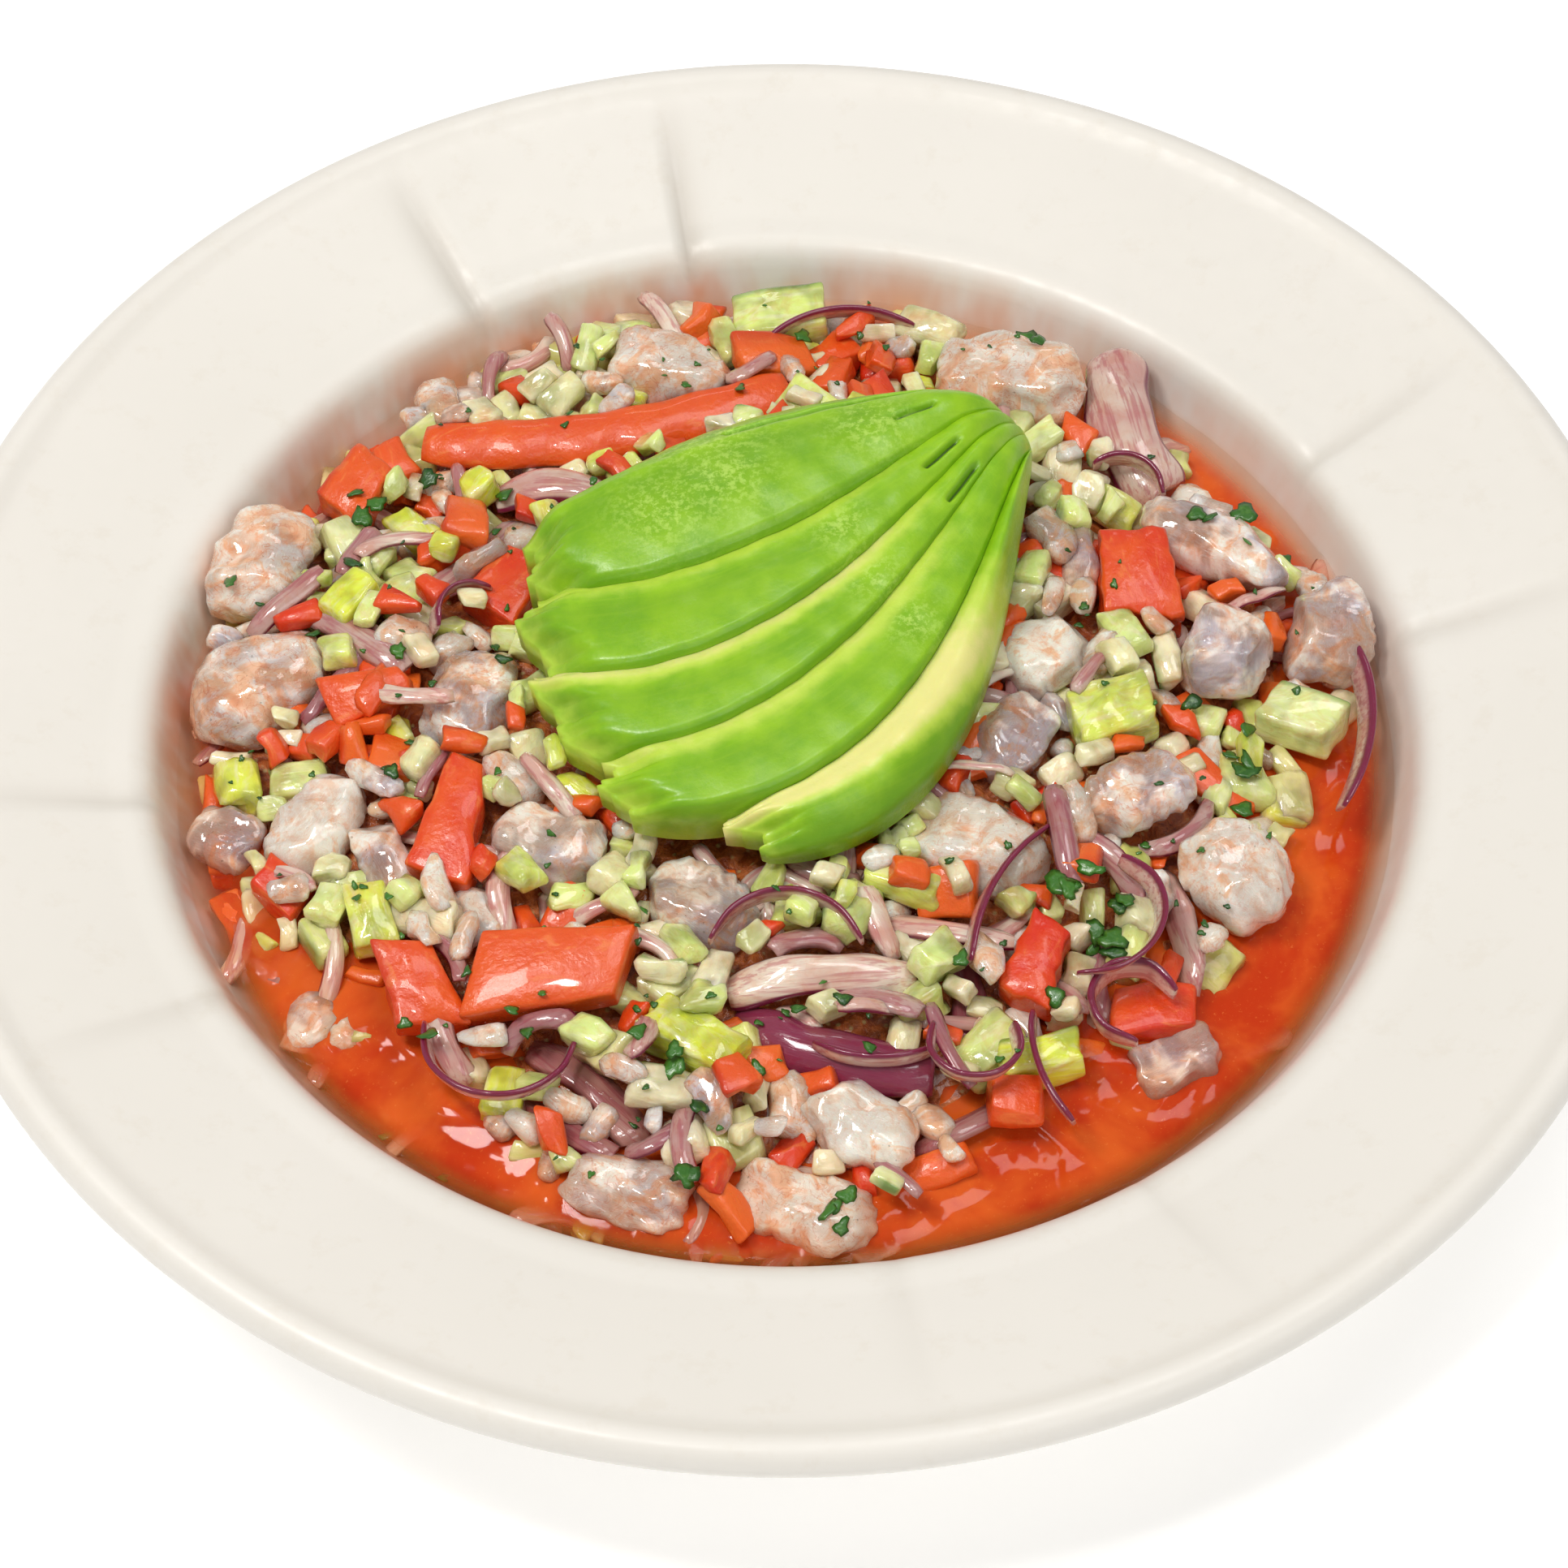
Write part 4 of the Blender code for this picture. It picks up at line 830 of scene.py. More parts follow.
def build_avocado(mat, relief):
    for k, (end_back, end_front, blunt, _, band, cols) in enumerate(SLICES):
        v = np.linspace(-0.10 if k else 0.0, 1.0, cols)[None, :]
        vc = np.clip(v, 0, 1)
        rows = np.linspace(0, 1, AVO_ROWS)[:, None]
        torn = 0.016 * np.sin(vc * 9.0 + k * 2.3) + 0.010 * np.abs(np.sin(vc * 17.0 + k * 1.1))
        end = end_back + (end_front - end_back) * vc + blunt * 4 * vc * (1 - vc) + torn - 0.012
        u = rows * end
        back, front = fan_point(k, u), fan_point(k + 1, u)
        xy = back + (front - back) * v[..., None]
        wide = np.linalg.norm(front - back, axis=-1)
        z = fan_height(k, v, u)
        z = z - (z - AVO_BOTTOM - 2) * 0.50 * smooth(rows, 0.90, 1.0) ** 2
        # a slight lip beside the neighbour, a dip behind it, and small waves left by the knife
        z = z + 0.35 * smooth(u, 0.2, 0.4) * np.exp(-((v * wide - 1.6) / 1.4) ** 2) * (band > 0)
        z = z + 0.16 * np.sin(xy[..., 0] * 0.55 + xy[..., 1] * 0.35) * np.sin(xy[..., 1] * 0.42 + k)
        split = near_lines(xy[..., 0], xy[..., 1], splits())
        cut = np.exp(-(split / 0.5) ** 2)
        z = z - 1.2 * cut
        z = np.where(v < 0, z - 1.2 * np.abs(v) * 10, z)
        top = np.concatenate([xy, z[..., None]], -1)
        middle = top.reshape(-1, 3).mean(0)
        low = top.copy()
        low[..., :2] = middle[:2] + (low[..., :2] - middle[:2]) * 0.985
        low[..., 2] = AVO_BOTTOM + 0.05
        body = lattice(top, low)
        away = vc * wide
        pale = (1 - smooth(away, 0.15 * band, 1.5 * band)) * smooth(u, 0.16, 0.46) if band else 0 * z
        green = 0.45 * smooth(away, band, band + 3.5) * (1 - 0.6 * smooth(vc, 0.3, 0.9))
        if k == len(SLICES) - 1:
            pale = (1 - smooth(away, 0.45 * band, band)) * smooth(u, 0.18, 0.50)
            green = 0.75 * smooth(vc, 0.66, 0.96)
        pale = np.maximum(pale * (0.0, 0.0, 0.48, 0.85, 0.66, 1.0)[k], 0.34 * smooth(rows, 0.93, 1.0)) + 0 * z
        # deep: skin-side green is the flesh's colour; the front-edge line in the crease and the splits are
        # painted shade
        deep = np.maximum(np.maximum(green, 0.65 * smooth(vc, 0.90, 1.0)) * smooth(u, 0.1, 0.3), cut) + 0 * z
        # painted sheen: where the lighter speckles of painted highlight go
        painted_sheen = np.zeros_like(z)
        for px, py, pr in patches():
            painted_sheen = np.maximum(painted_sheen, np.exp(-((xy[..., 0] - px) ** 2 + (xy[..., 1] - py) ** 2) / pr ** 2))
        tone = np.stack([pale, deep, painted_sheen], -1).reshape(-1, 3)
        side = tone.copy()
        side[:, 0] = 0.45 if 1 < k < len(SLICES) - 1 else side[:, 0]
        side[:, 1] = 0.0 if k else 0.3
        pile = Pile()
        body_loc = np.concatenate([np.stack([u * 100 + 0 * v, v * wide, 0 * z], -1).reshape(-1, 3)] * 2)
        pile.add(body, body.pts, np.concatenate([tone, side]))
        pile.loc[-1] = body_loc
        pile.build(f"avocado_slice_{k + 1}", mat, "avocado", "avocado_fan")
        relief.stamp(dense(body, body.pts), claim=True)


# ---- named pieces: places from the frame, the CAD's own sizes --------------------------------------------
# azimuth, tilt, roll, length, width, height, bend, taper, whiteness, pink
SHRIMP = (
    (70, 10, 0, 23, 16.5, 13, 30, 0.15, 0.55, 0.7),
    (40, 6, 0, 26, 18, 13, 35, 0.20, 0.50, 0.9),
    (160, 0, 0, 13, 12, 8.5, 15, 0.20, 0.10, 0.3),
    (60, 8, 0, 20, 13, 9, 20, 0.25, 0.85, 0.1),
    (115, 5, 0, 14.5, 9.5, 9, 20, 0.20, 0.05, 0.2),
    (75, 3, 0, 21, 15, 11, 25, 0.20, 0.25, 0.6),
    (150, 3, 0, 20, 14, 11, 30, 0.20, 0.30, 0.2),
    (150, 3, 0, 19.5, 14.5, 11, 20, 0.10, 0.20, 0.2),
    (-15, 2, 0, 25, 18, 11.5, 15, 0.10, 0.90, 0.4),
    (60, 0, 0, 17, 14, 11, 15, 0.10, 0.15, 0.3),
    (30, 2, 0, 17, 14.5, 11, 20, 0.15, 0.95, 0.3),
    (80, 0, 0, 17, 15, 14, 10, 0.10, 0.10, 0.0),
    (-38, 4, 0, 29, 12.5, 11, 40, 0.30, 0.08, 0.1),
    (80, 4, 0, 21, 14.5, 11, 30, 0.20, 0.20, 0.4),
    (25, 6, 0, 20, 12.5, 10, 25, 0.20, 0.20, 0.7),
    (130, 8, 0, 19, 17, 12, 10, 0.05, 0.90, 0.3),
    (30, 0, 0, 16, 11, 8, 15, 0.15, 0.15, 0.2),
    (150, 8, 0, 19, 13, 10, 20, 0.10, 1.00, 0.1),
    (-25, 4, 0, 23, 14, 9, 15, 0.15, 0.95, 0.6),
    (170, 4, 0, 21, 12, 9, 20, 0.25, 0.50, 0.6),
    (-15, 6, 0, 28, 18, 14, 25, 0.15, 0.85, 0.8),
    (-20, 6, 0, 22, 15, 12, 25, 0.15, 0.80, 0.7),
)
# node: azimuth, tilt, roll, length, width, thickness, taper, skew, crown, tone
WEDGES = {
    "tomato_01": (78, 10, 0, 22, 11.5, 6.0, 0.45, 0.2, 0.8, 0.85),
    "tomato_02": (110, 12, 0, 15.5, 12.0, 6.0, 0.25, 0.3, 0.8, 0.65),
    "tomato_03": (2, 6, 14, 25, 14.5, 6.5, 0.20, 0.30, 1.0, 0.50),
    "tomato_04": (60, 4, 0, 13, 11.5, 7.0, 0.15, 0.1, 0.8, 0.90),
    "tomato_05": (95, 10, 0, 17, 14.0, 8.0, 0.20, 0.1, 1.2, 0.85),
    "tomato_06": (60, 8, 0, 13, 10.5, 7.0, 0.20, 0.2, 0.8, 0.45),
    "tomato_07": (70, 8, 0, 15, 9.5, 6.0, 0.30, 0.2, 0.8, 1.00),
    "cucumber_01": (10, 4, 0, 17, 11.0, 7.0, 0.10, 0.1, 0.5, 0.65),
    "cucumber_02": (20, 6, 0, 14, 11.5, 8.0, 0.15, 0.1, 1.0, 0.80),
    "cucumber_03": (-30, 8, 0, 13, 9.5, 7.0, 0.10, 0.1, 0.6, 0.35),
    "cucumber_04": (-35, 6, 0, 17, 8.0, 7.0, 0.05, 0.1, 0.8, 1.00),
    "cucumber_05": (12, 4, 0, 13, 7.0, 6.5, 0.05, 0.0, 0.5, 1.00),
    "cucumber_06": (105, 10, 0, 11.5, 7.5, 6.5, 0.10, 0.1, 0.6, 0.85),
}
# node: azimuth, tilt, roll, length, width, thickness, bend in plan, arch, curl, purple
PETALS = {
    "tomato_strip": (10, 2, 15, 67, 9.4, 3.2, -16, 6, 0.45, 0.55),
    "onion_01": (-78, -7, 12, 32, 12.0, 3.2, -28, 16, 0.9, 0.25),
    "onion_02": (-6, 4, -15, 22, 8.5, 2.6, 20, 25, 0.8, 0.20),
    "onion_03": (4, 2, 10, 31, 7.0, 3.0, 14, 18, 0.6, 0.05),
    "onion_04": (-19, 3, 20, 34, 9.0, 2.8, -12, 16, 0.9, 0.95),
}


def set_in(node, pts, azimuth, tilt, roll):
    """Turns a piece's points and centres them in the box of its CAD node."""
    pts = placed(pts, 0, 0, 0, azimuth, tilt, roll)
    low, high = (np.array(corner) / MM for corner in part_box(node))
    return pts + (low + high - pts.min(0) - pts.max(0)) / 2


def build_named(mats, relief):
    for i, row in enumerate(SHRIMP):
        rng = np.random.RandomState(100 + i)
        name = f"shrimp_{i + 1:02d}"
        body = tail(*row[3:8], rng, rings=26, sides=32)
        pts = set_in(name, body.pts, *row[:3])
        single(name + "_meat", mats["shrimp"], "shrimp", body, pts, (row[8], row[9], rng.uniform()), name)
        relief.stamp(dense(body, pts), claim=True)
    for i, (name, row) in enumerate(WEDGES.items()):
        rng = np.random.RandomState(200 + i)
        kind = name.split("_")[0]
        body = dice(*row[3:9], rng, fine=10, edge=0.7, rough=0.35)
        pts = set_in(name, body.pts, *row[:3])
        skin = smooth(body.pts[:, 1], row[4] * 0.30, row[4] * 0.44) * (0.8 if i % 2 else 0.0)
        tone = np.stack([np.full(len(pts), row[9]), np.full(len(pts), 0.5), skin], 1)
        single(name + "_dice", mats[kind], kind, body, pts, tone, name)
        relief.stamp(dense(body, pts), claim=True)
    for i, (name, row) in enumerate(PETALS.items()):
        rng = np.random.RandomState(300 + i)
        tomato = name.startswith("tomato")
        body, q = strip(*row[3:9], stations=44, sides=20)
        body.pts = wobble(body.pts, 0.3, 9.0, rng)
        pts = set_in(name, body.pts, *row[:3])
        edge = smooth(np.abs(q), 0.80, 1.0) if not tomato else 0 * q
        tone = np.stack([np.full(len(pts), row[9]), np.full(len(pts), 0.5), edge], 1)
        kind = "tomato" if tomato else "red_onion"
        single(name + "_piece", mats[kind], kind, body, pts, tone, name)
        relief.stamp(dense(body, pts), claim=True)


# ---- loose pieces -------------------------------------------------------------------------
# groups seen in the heap: kind, bearing, distance from the axis, spread, count, tone
GROUPS = (
    ("tomato", 135, 90, 7, 3, 0.4), ("tomato", 195, 80, 9, 4, 0.4), ("tomato", 215, 85, 7, 3, 0.6),
    ("tomato", 250, 60, 12, 4, 0.4), ("tomato", 305, 80, 9, 4, 0.8), ("tomato", 345, 75, 9, 4, 0.5),
    ("tomato", 95, 83, 8, 3, 0.5), ("tomato", 60, 100, 3, 1, 0.6),
    ("shrimp", 130, 90, 6, 2, 0.8), ("shrimp", 180, 55, 8, 2, 0.6), ("shrimp", 215, 95, 5, 3, 0.4),
    ("shrimp", 275, 88, 8, 3, 0.3), ("shrimp", 85, 90, 9, 3, 0.7),
    ("onion", 250, 88, 8, 5, 0.7), ("onion", 275, 62, 10, 3, 0.3), ("onion", 310, 80, 9, 4, 0.5),
    ("onion", 42, 72, 7, 3, 0.2),
    ("cucumber", 120, 88, 7, 6, 0.6), ("cucumber", 145, 90, 8, 6, 0.3), ("cucumber", 160, 72, 9, 9, 0.6),
    ("cucumber", 190, 85, 8, 5, 0.6), ("cucumber", 222, 95, 6, 2, 0.6), ("cucumber", 228, 62, 8, 6, 0.6),
    ("cucumber", 240, 80, 7, 4, 0.8), ("cucumber", 265, 52, 9, 4, 0.4), ("cucumber", 290, 75, 9, 3, 0.6),
    ("cucumber", 320, 72, 9, 9, 0.6), ("cucumber", 353, 74, 8, 9, 0.5), ("cucumber", 10, 62, 8, 5, 0.4),
    ("cucumber", 22, 92, 6, 4, 0.2), ("cucumber", 60, 92, 6, 3, 0.6), ("cucumber", 92, 78, 6, 2, 0.3),
)
SIZES = {"cucumber": (7.0, 5.6), "tomato": (8.0, 5.6), "onion": (15.0, 4.2), "shrimp": (9.5, 6.0)}
# thin onion loops: bearing, distance, height, bend radius, first bearing on the bend, sweep
LOOPS = (
    (237, 84, 40, 12, 170, 190), (270, 45, 44, 13, 160, -140), (282, 70, 40, 16, 230, 80),
    (293, 76, 43, 7, 150, 240),
    (300, 82, 40, 25, 170, 50), (312, 52, 43, 40, 130, 45), (320, 72, 44, 12, 60, -160),
    (313, 80, 40, 7, 20, 250),
    (358, 96, 40, 45, 15, -45), (85, 88, 40, 22, 150, -90), (40, 80, 42, 8, 0, 120),
    (160, 60, 44, 7, 200, -130),
)
# cilantro: bearing, distance, spread, count, leaf size
LEAF_GROUPS = ((322, 67, 4, 9, 3.8), (61, 96, 3, 5, 3.2), (353, 74, 5, 6, 3.0), (255, 84, 8, 6, 2.8),
               (273, 95, 5, 4, 2.6),
               (232, 96, 5, 4, 2.6), (28, 84, 7, 5, 2.6), (150, 84, 14, 8, 2.4), (190, 62, 14, 6, 2.0),
               (228, 72, 12, 6, 2.0), (290, 68, 14, 6, 2.2), (95, 88, 10, 4, 2.2))


def polar(bearing, distance):
    a = math.radians(bearing)
    return np.array([math.cos(a), math.sin(a)]) * distance


class Filling:
    """Lays the loose pieces: each kind is one joined mesh."""

    def __init__(self, relief):
        self.relief = relief
        self.rng = np.random.RandomState(17)
        self.piles = {k: Pile() for k in ("cucumber", "tomato", "onion", "shrimp", "cilantro")}

    def body(self, kind, length, width, tone):
        """A body of that kind and the colour of its points."""
        rng = self.rng
        if kind == "cucumber":
            thick = min(0.9 * width, 6.5) * rng.uniform(0.75, 1.0)
            body = dice(length, width, thick, rng.uniform(0, 0.25), rng.uniform(-0.2, 0.3),
                        rng.uniform(0.0, 0.4), rng, edge=rng.uniform(0.7, 1.6), rough=0.4)
            skin = smooth(body.pts[:, 1], width * 0.34, width * 0.5) * (0.85 if rng.uniform() < 0.14 else 0.0)
            return body, (tone, skin)
        if kind == "tomato":
            thick = min(0.75 * width, 6.0) * rng.uniform(0.7, 1.0)
            body = dice(length, width, thick, rng.uniform(0, 0.45), rng.uniform(-0.3, 0.4),
                        rng.uniform(0.2, 0.7), rng, edge=rng.uniform(0.5, 1.2), rough=0.45)
            skin = smooth(body.pts[:, 1], width * 0.30, width * 0.46) * (0.9 if rng.uniform() < 0.4 else 0.0)
            return body, (tone, skin)
        if kind == "onion":
            body, q = strip(length, width, rng.uniform(1.1, 1.7), rng.uniform(-45, 45), rng.uniform(0, 25),
                            rng.uniform(0.2, 1.1), stations=12, sides=8)
            body.pts = wobble(body.pts, 0.25, 8.0, rng)
            return body, (tone, smooth(q * (1 if rng.uniform() < 0.5 else -1), 0.70, 1.0))
        body = tail(length, width, min(0.8 * width, 8.0), rng.uniform(5, 45), rng.uniform(0, 0.3), rng,
                    rings=9, sides=11, rough=0.45)
        return body, (tone, np.zeros(len(body.pts)))

    def lay(self, kind, x, y, azimuth, length, width, tone, z=None, sink=0.35, limit=1.0, tilt=12.0,
            claim=False):
        body, (tone, third) = self.body(kind, length, width, tone)
        rng = self.rng
        pts = placed(body.pts, x, y, 0.0, azimuth, rng.normal() * tilt, rng.normal() * tilt)
        if z is None:
            if self.relief.taken(pts) > limit:
                return False
            z = self.relief.rest(pts, sink)
            level = float(heap_level(np.float64(x), np.float64(y)))
            if z > level + 7.0:                  # beside the avocado: tuck it under the edge
                z = level - 1.0
            if limit < 1.0 and z + pts[:, 2].max() > level + 6.0:
                return False
        pts = pts + np.array([0, 0, z])
        if kind == "shrimp":
            second = np.full(len(pts), rng.uniform(0.1, 0.9))
        else:
            second = np.full(len(pts), rng.uniform())
        colour = np.stack([np.full(len(pts), tone), second, third + 0 * second], 1)
        self.piles[kind].add(body, pts, colour)
        self.relief.stamp(dense(body, pts), claim=claim)
        return True

    def ribbon(self, z, *points):
        """Thin onion slice standing on edge along a smooth plan line."""
        rng = self.rng
        p = np.array([points[0], *points, points[-1]], float)
        line = []
        for i in range(1, len(p) - 2):
            for s in np.linspace(0, 1, 7)[: 7 if i == len(p) - 3 else 6]:
                a, b, c, d = p[i - 1], p[i], p[i + 1], p[i + 2]
                line.append(0.5 * (2 * b + (c - a) * s + (2 * a - 5 * b + 4 * c - d) * s * s
                                   + (3 * b - a - 3 * c + d) * s ** 3))
        line = np.array(line)
        along = np.gradient(line, axis=0)
        along /= np.linalg.norm(along, axis=1)[:, None] + 1e-9
        across = np.stack([-along[:, 1], along[:, 0]], 1)
        n = len(line)
        t = np.linspace(0, 1, n)
        tall, thick, lean = rng.uniform(3.4, 5.0), rng.uniform(1.1, 1.5), rng.uniform(-0.5, 0.5)
        a = turns(12)
        q, s = squared(a, 0.7, 0.8)
        taper = 1 - 0.4 * np.abs(2 * t - 1) ** 6
        side = 0.5 * thick * s[None, :] + 0.5 * tall * lean * q[None, :]
        rings = np.zeros((n, 12, 3))
        rings[..., :2] = line[:, None, :] + across[:, None, :] * (side * taper[:, None])[..., None]
        rings[..., 2] = z + 1.2 * np.sin(math.pi * t)[:, None]
        rings[..., 2] = rings[..., 2] + 0.5 * tall * (q[None, :] * taper[:, None]) - 0.8
        body = loft(rings)
        full = np.append(np.tile(q, n), [0, 0])
        colour = np.stack([np.full(len(full), rng.uniform(0.0, 0.35)), 0 * full, smooth(full, 0.35, 0.85)], 1)
        self.piles["onion"].add(body, body.pts, colour)
        self.relief.stamp(dense(body, body.pts))

    def leaf(self, x, y, size, lift=0.25):
        """Torn cilantro leaf lying on what is there."""
        rng = self.rng
        n = 14
        a = turns(n)
        r = size * (0.62 + 0.38 * np.abs(np.cos(1.5 * a + rng.uniform(0, 3)))) * rng.uniform(0.75, 1.1, n)
        px, py = r * np.cos(a), r * np.sin(a) * rng.uniform(0.45, 0.9)
        mid = 0.55
        curl = rng.uniform(-0.06, 0.10)
        rings = []
        for f, dz in ((mid, 0.16), (1.0, 0.0), (mid, -0.16)):
            rings.append(np.stack([px * f, py * f, curl * (px * f) ** 2 + dz], 1))
        body = loft(np.array(rings))
        pts = placed(body.pts, x, y, 0, rng.uniform(0, 360), rng.normal() * 14, rng.normal() * 14)
        z = self.relief.rest(pts, 0.25) + lift
        self.piles["cilantro"].add(body, pts + np.array([0, 0, z]), (rng.uniform(), 0, 0))

    def measure(self, kind, scale):
        length, width = SIZES[kind]
        return length * scale * self.rng.uniform(0.8, 1.4), width * scale * self.rng.uniform(0.8, 1.2)

    def groups(self):
        rng = self.rng
        for kind, bearing, distance, spread, count, tone in GROUPS:
            for _ in range(count):
                x, y = polar(bearing, distance) + rng.normal(size=2) * spread
                r, edge = math.hypot(x, y), float(heap_outline(np.arctan2(y, x)))
                if r > 98.0:
                    continue
                z = BROTH_Z - rng.uniform(0.5, 2.5) if r > edge else None
                self.lay(kind, x, y, rng.uniform(0, 360), *self.measure(kind, rng.uniform(0.9, 1.45)),
                         float(np.clip(tone + 0.2 * rng.normal(), 0, 1)), z=z, sink=0.45, limit=0.35,
                         tilt=8.0, claim=True)
        for bearing, distance, z, bend, first, sweep in LOOPS:
            arc = np.array([polar(first + sweep * s, bend) for s in np.linspace(0, 1, 6)])
            self.ribbon(z, *(arc - arc.mean(0) + polar(bearing, distance)))

    def random_piece(self, x, y, small):
        rng = self.rng
        front = 235 < math.degrees(math.atan2(y, x)) % 360 < 330
        kind = rng.choice(["cucumber", "tomato", "onion", "shrimp"],
                          p=[0.38, 0.21, 0.26, 0.15] if front else [0.43, 0.24, 0.14, 0.19])
        tone = {"onion": rng.beta(0.6, 1.6), "cucumber": rng.beta(0.7, 1.3)}.get(kind, rng.beta(0.9, 0.9))
        scale = rng.uniform(0.62, 0.95) if small else rng.uniform(0.95, 1.45)
        return kind, *self.measure(kind, scale), tone

    def fill(self):
        rel, rng = self.relief, self.rng
        for small, goal, tries in ((False, 0.06, 900), (True, 0.004, 2500)):
            for _ in range(tries):
                bare = rel.inside & ~rel.claimed & (rel.top < rel.floor + 1.8)
                where = np.argwhere(bare)
                if len(where) < goal * rel.inside.sum():
                    break
                i, j = where[rng.randint(len(where))]
                x, y = rel.x[i, j], rel.y[i, j]
                kind, length, width, tone = self.random_piece(x, y, small)
                self.lay(kind, x, y, rng.uniform(0, 360), length, width, tone, sink=0.45,
                         limit=0.45 if small else 0.30, tilt=16.0)
        for _ in range(700):
            where = np.argwhere(rel.inside & ~rel.claimed & (rel.top < rel.floor + 1.2))
            if not len(where):
                break
            i, j = where[rng.randint(len(where))]
            kind, length, width, tone = self.random_piece(rel.x[i, j], rel.y[i, j], True)
            self.lay(kind, rel.x[i, j], rel.y[i, j], rng.uniform(0, 360), length, width, tone,
                     z=rel.floor[i, j] + rng.uniform(1.2, 2.4))
        crown = heap_level(rel.x, rel.y) - 2.2
        for _ in range(900):
            where = np.argwhere(rel.inside & ~rel.claimed & (rel.top < crown))
            if len(where) < 0.02 * rel.inside.sum():
                break
            i, j = where[rng.randint(len(where))]
            kind, length, width, tone = self.random_piece(rel.x[i, j], rel.y[i, j], True)
            self.lay(kind, rel.x[i, j], rel.y[i, j], rng.uniform(0, 360), length, width, tone, sink=0.40,
                     limit=0.40, tilt=16.0)
        for _ in range(60):
            a, r = rng.uniform(0, 2 * math.pi), 96 * math.sqrt(rng.uniform(0.05, 1))
            x, y = r * math.cos(a), r * math.sin(a)
            if r < float(heap_outline(np.float64(a))) - 4:
                kind, length, width, tone = self.random_piece(x, y, True)
                self.lay(kind, x, y, rng.uniform(0, 360), length, width, tone, sink=0.5, limit=0.10,
                         tilt=18.0)

    def under_fan(self):
        """Pieces tucked under the front edge and the slice ends of the avocado, over the bare core."""
        rng = self.rng
        spots = [fan_point(6, u) for u in np.linspace(0.10, 1.0, 22)]
        spots += [on_slice(k, s, 0.97) for k in range(6) for s in (0.0, 0.5)]
        for x, y in spots:
            for drop, out in ((0.0, 0.0), (2.4, 2.2)):
                kind, length, width, tone = self.random_piece(x, y, True)
                self.lay(kind, x - 0.4 * out, y - 0.9 * out, rng.uniform(0, 360), length, width, tone,
                         z=40.6 - drop - rng.uniform(0, 0.7), tilt=14.0)

    def in_broth(self):
        """Pieces sunk in the broth round the heap, and a few that float."""
        rng = self.rng
        for _ in range(90):
            a = rng.uniform(0, 2 * math.pi)
            edge = float(heap_outline(np.float64(a)))
            r = rng.uniform(edge - 1, min(edge + 14, 98))
            kind, length, width, tone = self.random_piece(r * math.cos(a), r * math.sin(a), True)
            self.lay(kind, r * math.cos(a), r * math.sin(a), rng.uniform(0, 360), length, width, tone,
                     z=max(BROTH_Z - rng.uniform(2.2, 5.0), float(well_z(np.float64(r))) + 1.8), tilt=8.0)
        for _ in range(85):                      # the heap meets the wall at the back and left
            a = math.radians(rng.uniform(72, 208))
            r = rng.uniform(float(heap_outline(np.float64(a))) - 1, 100.4)
            kind, length, width, tone = self.random_piece(r * math.cos(a), r * math.sin(a), True)
            along_wall = math.degrees(a) + 90 + rng.normal() * 30
            self.lay(kind, r * math.cos(a), r * math.sin(a), along_wall, length, width, tone,
                     z=BROTH_Z + rng.uniform(-0.6, 1.8), tilt=12.0)

    def herbs(self):
        rng = self.rng
        for bearing, distance, spread, count, size in LEAF_GROUPS:
            for _ in range(count):
                x, y = polar(bearing, distance) + rng.normal(size=2) * spread
                if math.hypot(x, y) < 99.0:              # none lies on the wall
                    self.leaf(x, y, size * rng.uniform(0.6, 1.1))
        for _ in range(150):
            a, r = rng.uniform(0, 2 * math.pi), 97 * math.sqrt(rng.uniform(0, 1))
            x, y = r * math.cos(a), r * math.sin(a)
            i, j = self.relief.spot(np.array([[x, y, 0.0]]))
            under_avocado = self.relief.top[i[0], j[0]] > 47
            if not under_avocado and self.relief.inside[i[0], j[0]]:
                self.leaf(x, y, rng.uniform(0.5, 1.2), 0.15)

    def build(self, mats):
        for kind, pile in self.piles.items():
            key = "red_onion" if kind == "onion" else kind
            slot = "ceviche_mix" if kind == "cilantro" else key
            pile.build("loose_" + kind, mats[key], slot)


def build_broth(mat, relief):
    """Ring of broth with the small climb of a wet surface against whatever stands in it."""
    piercing = (relief.top > BROTH_Z + 0.4).astype(float)
    near = piercing.copy()
    around = ((0, 0), (1, 0), (-1, 0), (0, 1), (0, -1), (1, 1), (-1, -1), (1, -1), (-1, 1))
    for _ in range(14):
        near = sum(np.roll(near, step, (0, 1)) for step in around) / 9
    n, m = 520, 64
    a = turns(n)
    rings = []
    for r in np.linspace(58.0, WATERLINE_R + 0.85, m):
        pts = np.stack([r * np.cos(a), r * np.sin(a), np.full(n, BROTH_Z)], 1)
        i, j = relief.spot(pts)
        climb = 2.0 * np.clip(near[i, j], 0, 1) ** 1.3
        wall = 0.9 * math.exp(-(WATERLINE_R + 0.85 - r) / 1.1)
        pts[:, 2] += np.maximum(climb, wall)
        rings.append(pts)
    for r in (WATERLINE_R + 0.6, 100.0, 97.0, 92.0, 85.0, 75.0, 62.0):
        under = float(well_z(np.float64(r))) + 0.25
        rings.append(np.stack([r * np.cos(a), r * np.sin(a), np.full(n, under)], 1))
    rings = np.array(rings)
    quads = ring_faces(len(rings), n, closed=True)
    body = Body(rings.reshape(-1, 3), quads, np.zeros((0, 3), int))
    single("broth_pool", mat, "broth", body, body.pts, (0, 0, 0), "broth")


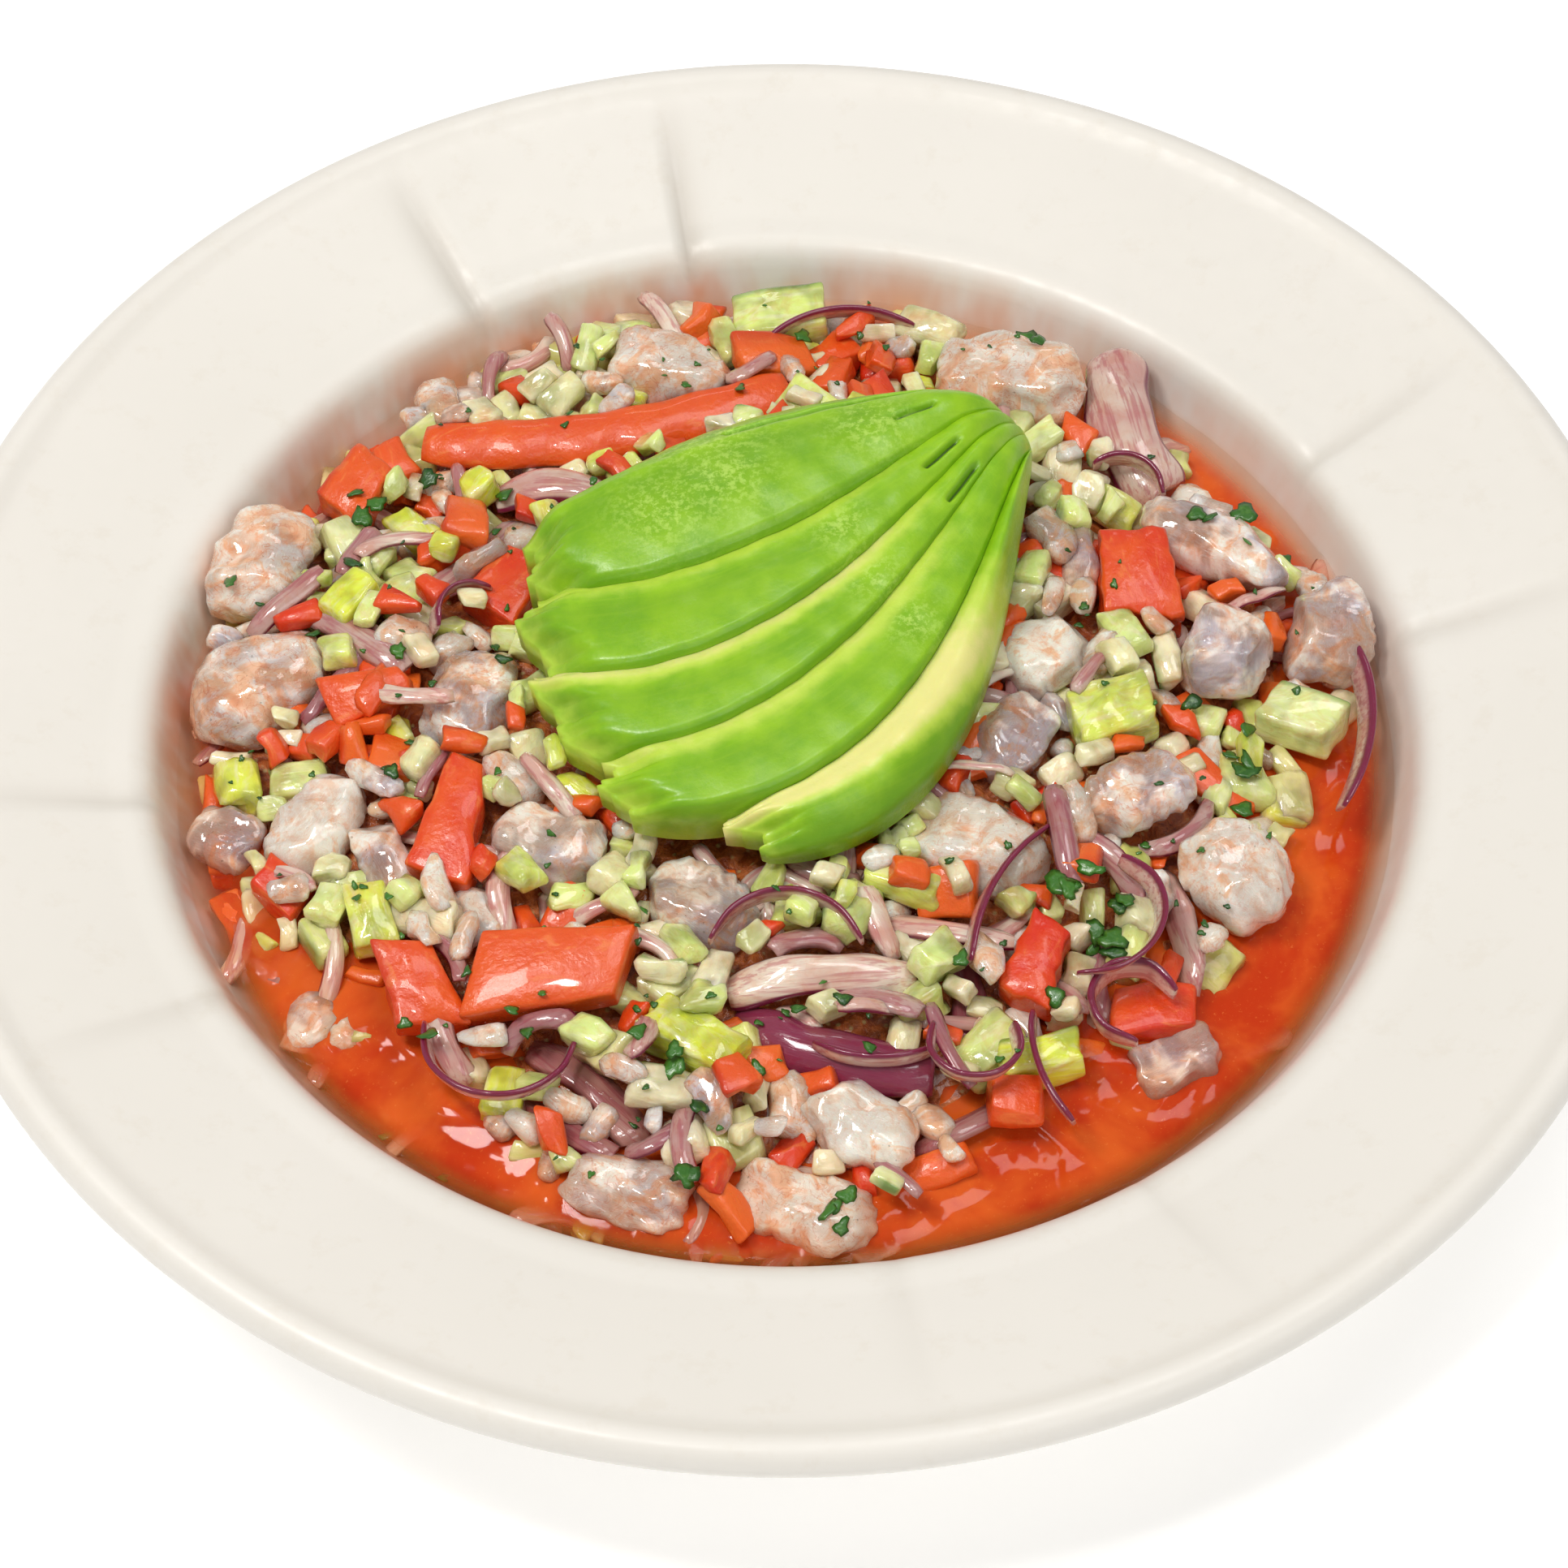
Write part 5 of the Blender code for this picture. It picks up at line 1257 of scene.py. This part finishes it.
# ---- stage --------------------------------------------------------------------------------
def area_light(name, place, aim, size, power, colour=(1.0, 1.0, 1.0)):
    light = bpy.data.lights.new(name, "AREA")
    light.shape, light.size, light.size_y = "RECTANGLE", size[0], size[1]
    light.energy, light.color = power, colour
    ob = bpy.data.objects.new(name, light)
    ob.location = place
    ob.rotation_euler = (Vector(aim) - Vector(place)).to_track_quat("-Z", "Y").to_euler()
    bpy.context.scene.collection.objects.link(ob)


def build_stage():
    mesh = bpy.data.meshes.new("floor")
    s = 3.0
    mesh.from_pydata([(-s, -s, 0), (s, -s, 0), (s, s, 0), (-s, s, 0)], [], [(0, 1, 2, 3)])
    mesh.materials.append(floor_material())
    floor = bpy.data.objects.new("floor", mesh)
    bpy.context.scene.collection.objects.link(floor)

    world = bpy.data.worlds.new("studio")
    world.use_nodes = True
    world.node_tree.nodes["Background"].inputs["Color"].default_value = (1.0, 0.99, 0.97, 1.0)
    world.node_tree.nodes["Background"].inputs["Strength"].default_value = 0.32
    scene = bpy.context.scene
    scene.world = world
    scene.view_settings.view_transform = "Standard"
    scene.view_settings.look = "None"

    middle = (0.0, 0.0, 0.04)
    area_light("key", (-0.50, -0.10, 1.15), middle, (0.28, 0.28), 5.9, (1.0, 0.972, 0.935))
    area_light("spark", (-0.22, -0.30, 1.20), middle, (0.08, 0.08), 2.2)
    area_light("fill", (0.70, -0.75, 0.95), middle, (0.6, 0.6), 2.4)
    area_light("top", (0.25, 0.15, 1.30), middle, (0.5, 0.4), 3.2)
    area_light("window", (-0.10, 0.95, 0.85), middle, (0.20, 0.10), 0.30)

    elevation = math.radians(CAMERA_ELEVATION)
    back = Vector((0.0, -math.cos(elevation), math.sin(elevation)))
    cam = bpy.data.cameras.new("camera")
    cam.sensor_width, cam.lens = 36.0, CAMERA_LENS
    ob = bpy.data.objects.new("camera", cam)
    ob.location = Vector(CAMERA_TARGET) + back * CAMERA_DISTANCE
    ob.rotation_euler = (-back).to_track_quat("-Z", "Y").to_euler()
    scene.collection.objects.link(ob)
    scene.camera = ob


def main():
    mats = {"shrimp": shrimp_material(), "tomato": tomato_material(), "cucumber": cucumber_material(),
            "red_onion": onion_material(), "cilantro": cilantro_material()}
    relief = Relief()
    build_bowl(china_material())
    build_core(core_material())
    build_avocado(avocado_material(), relief)
    build_named(mats, relief)
    filling = Filling(relief)
    filling.groups()
    filling.fill()
    filling.under_fan()
    filling.in_broth()
    filling.herbs()
    filling.build(mats)
    build_broth(broth_material(), relief)
    build_stage()


main()
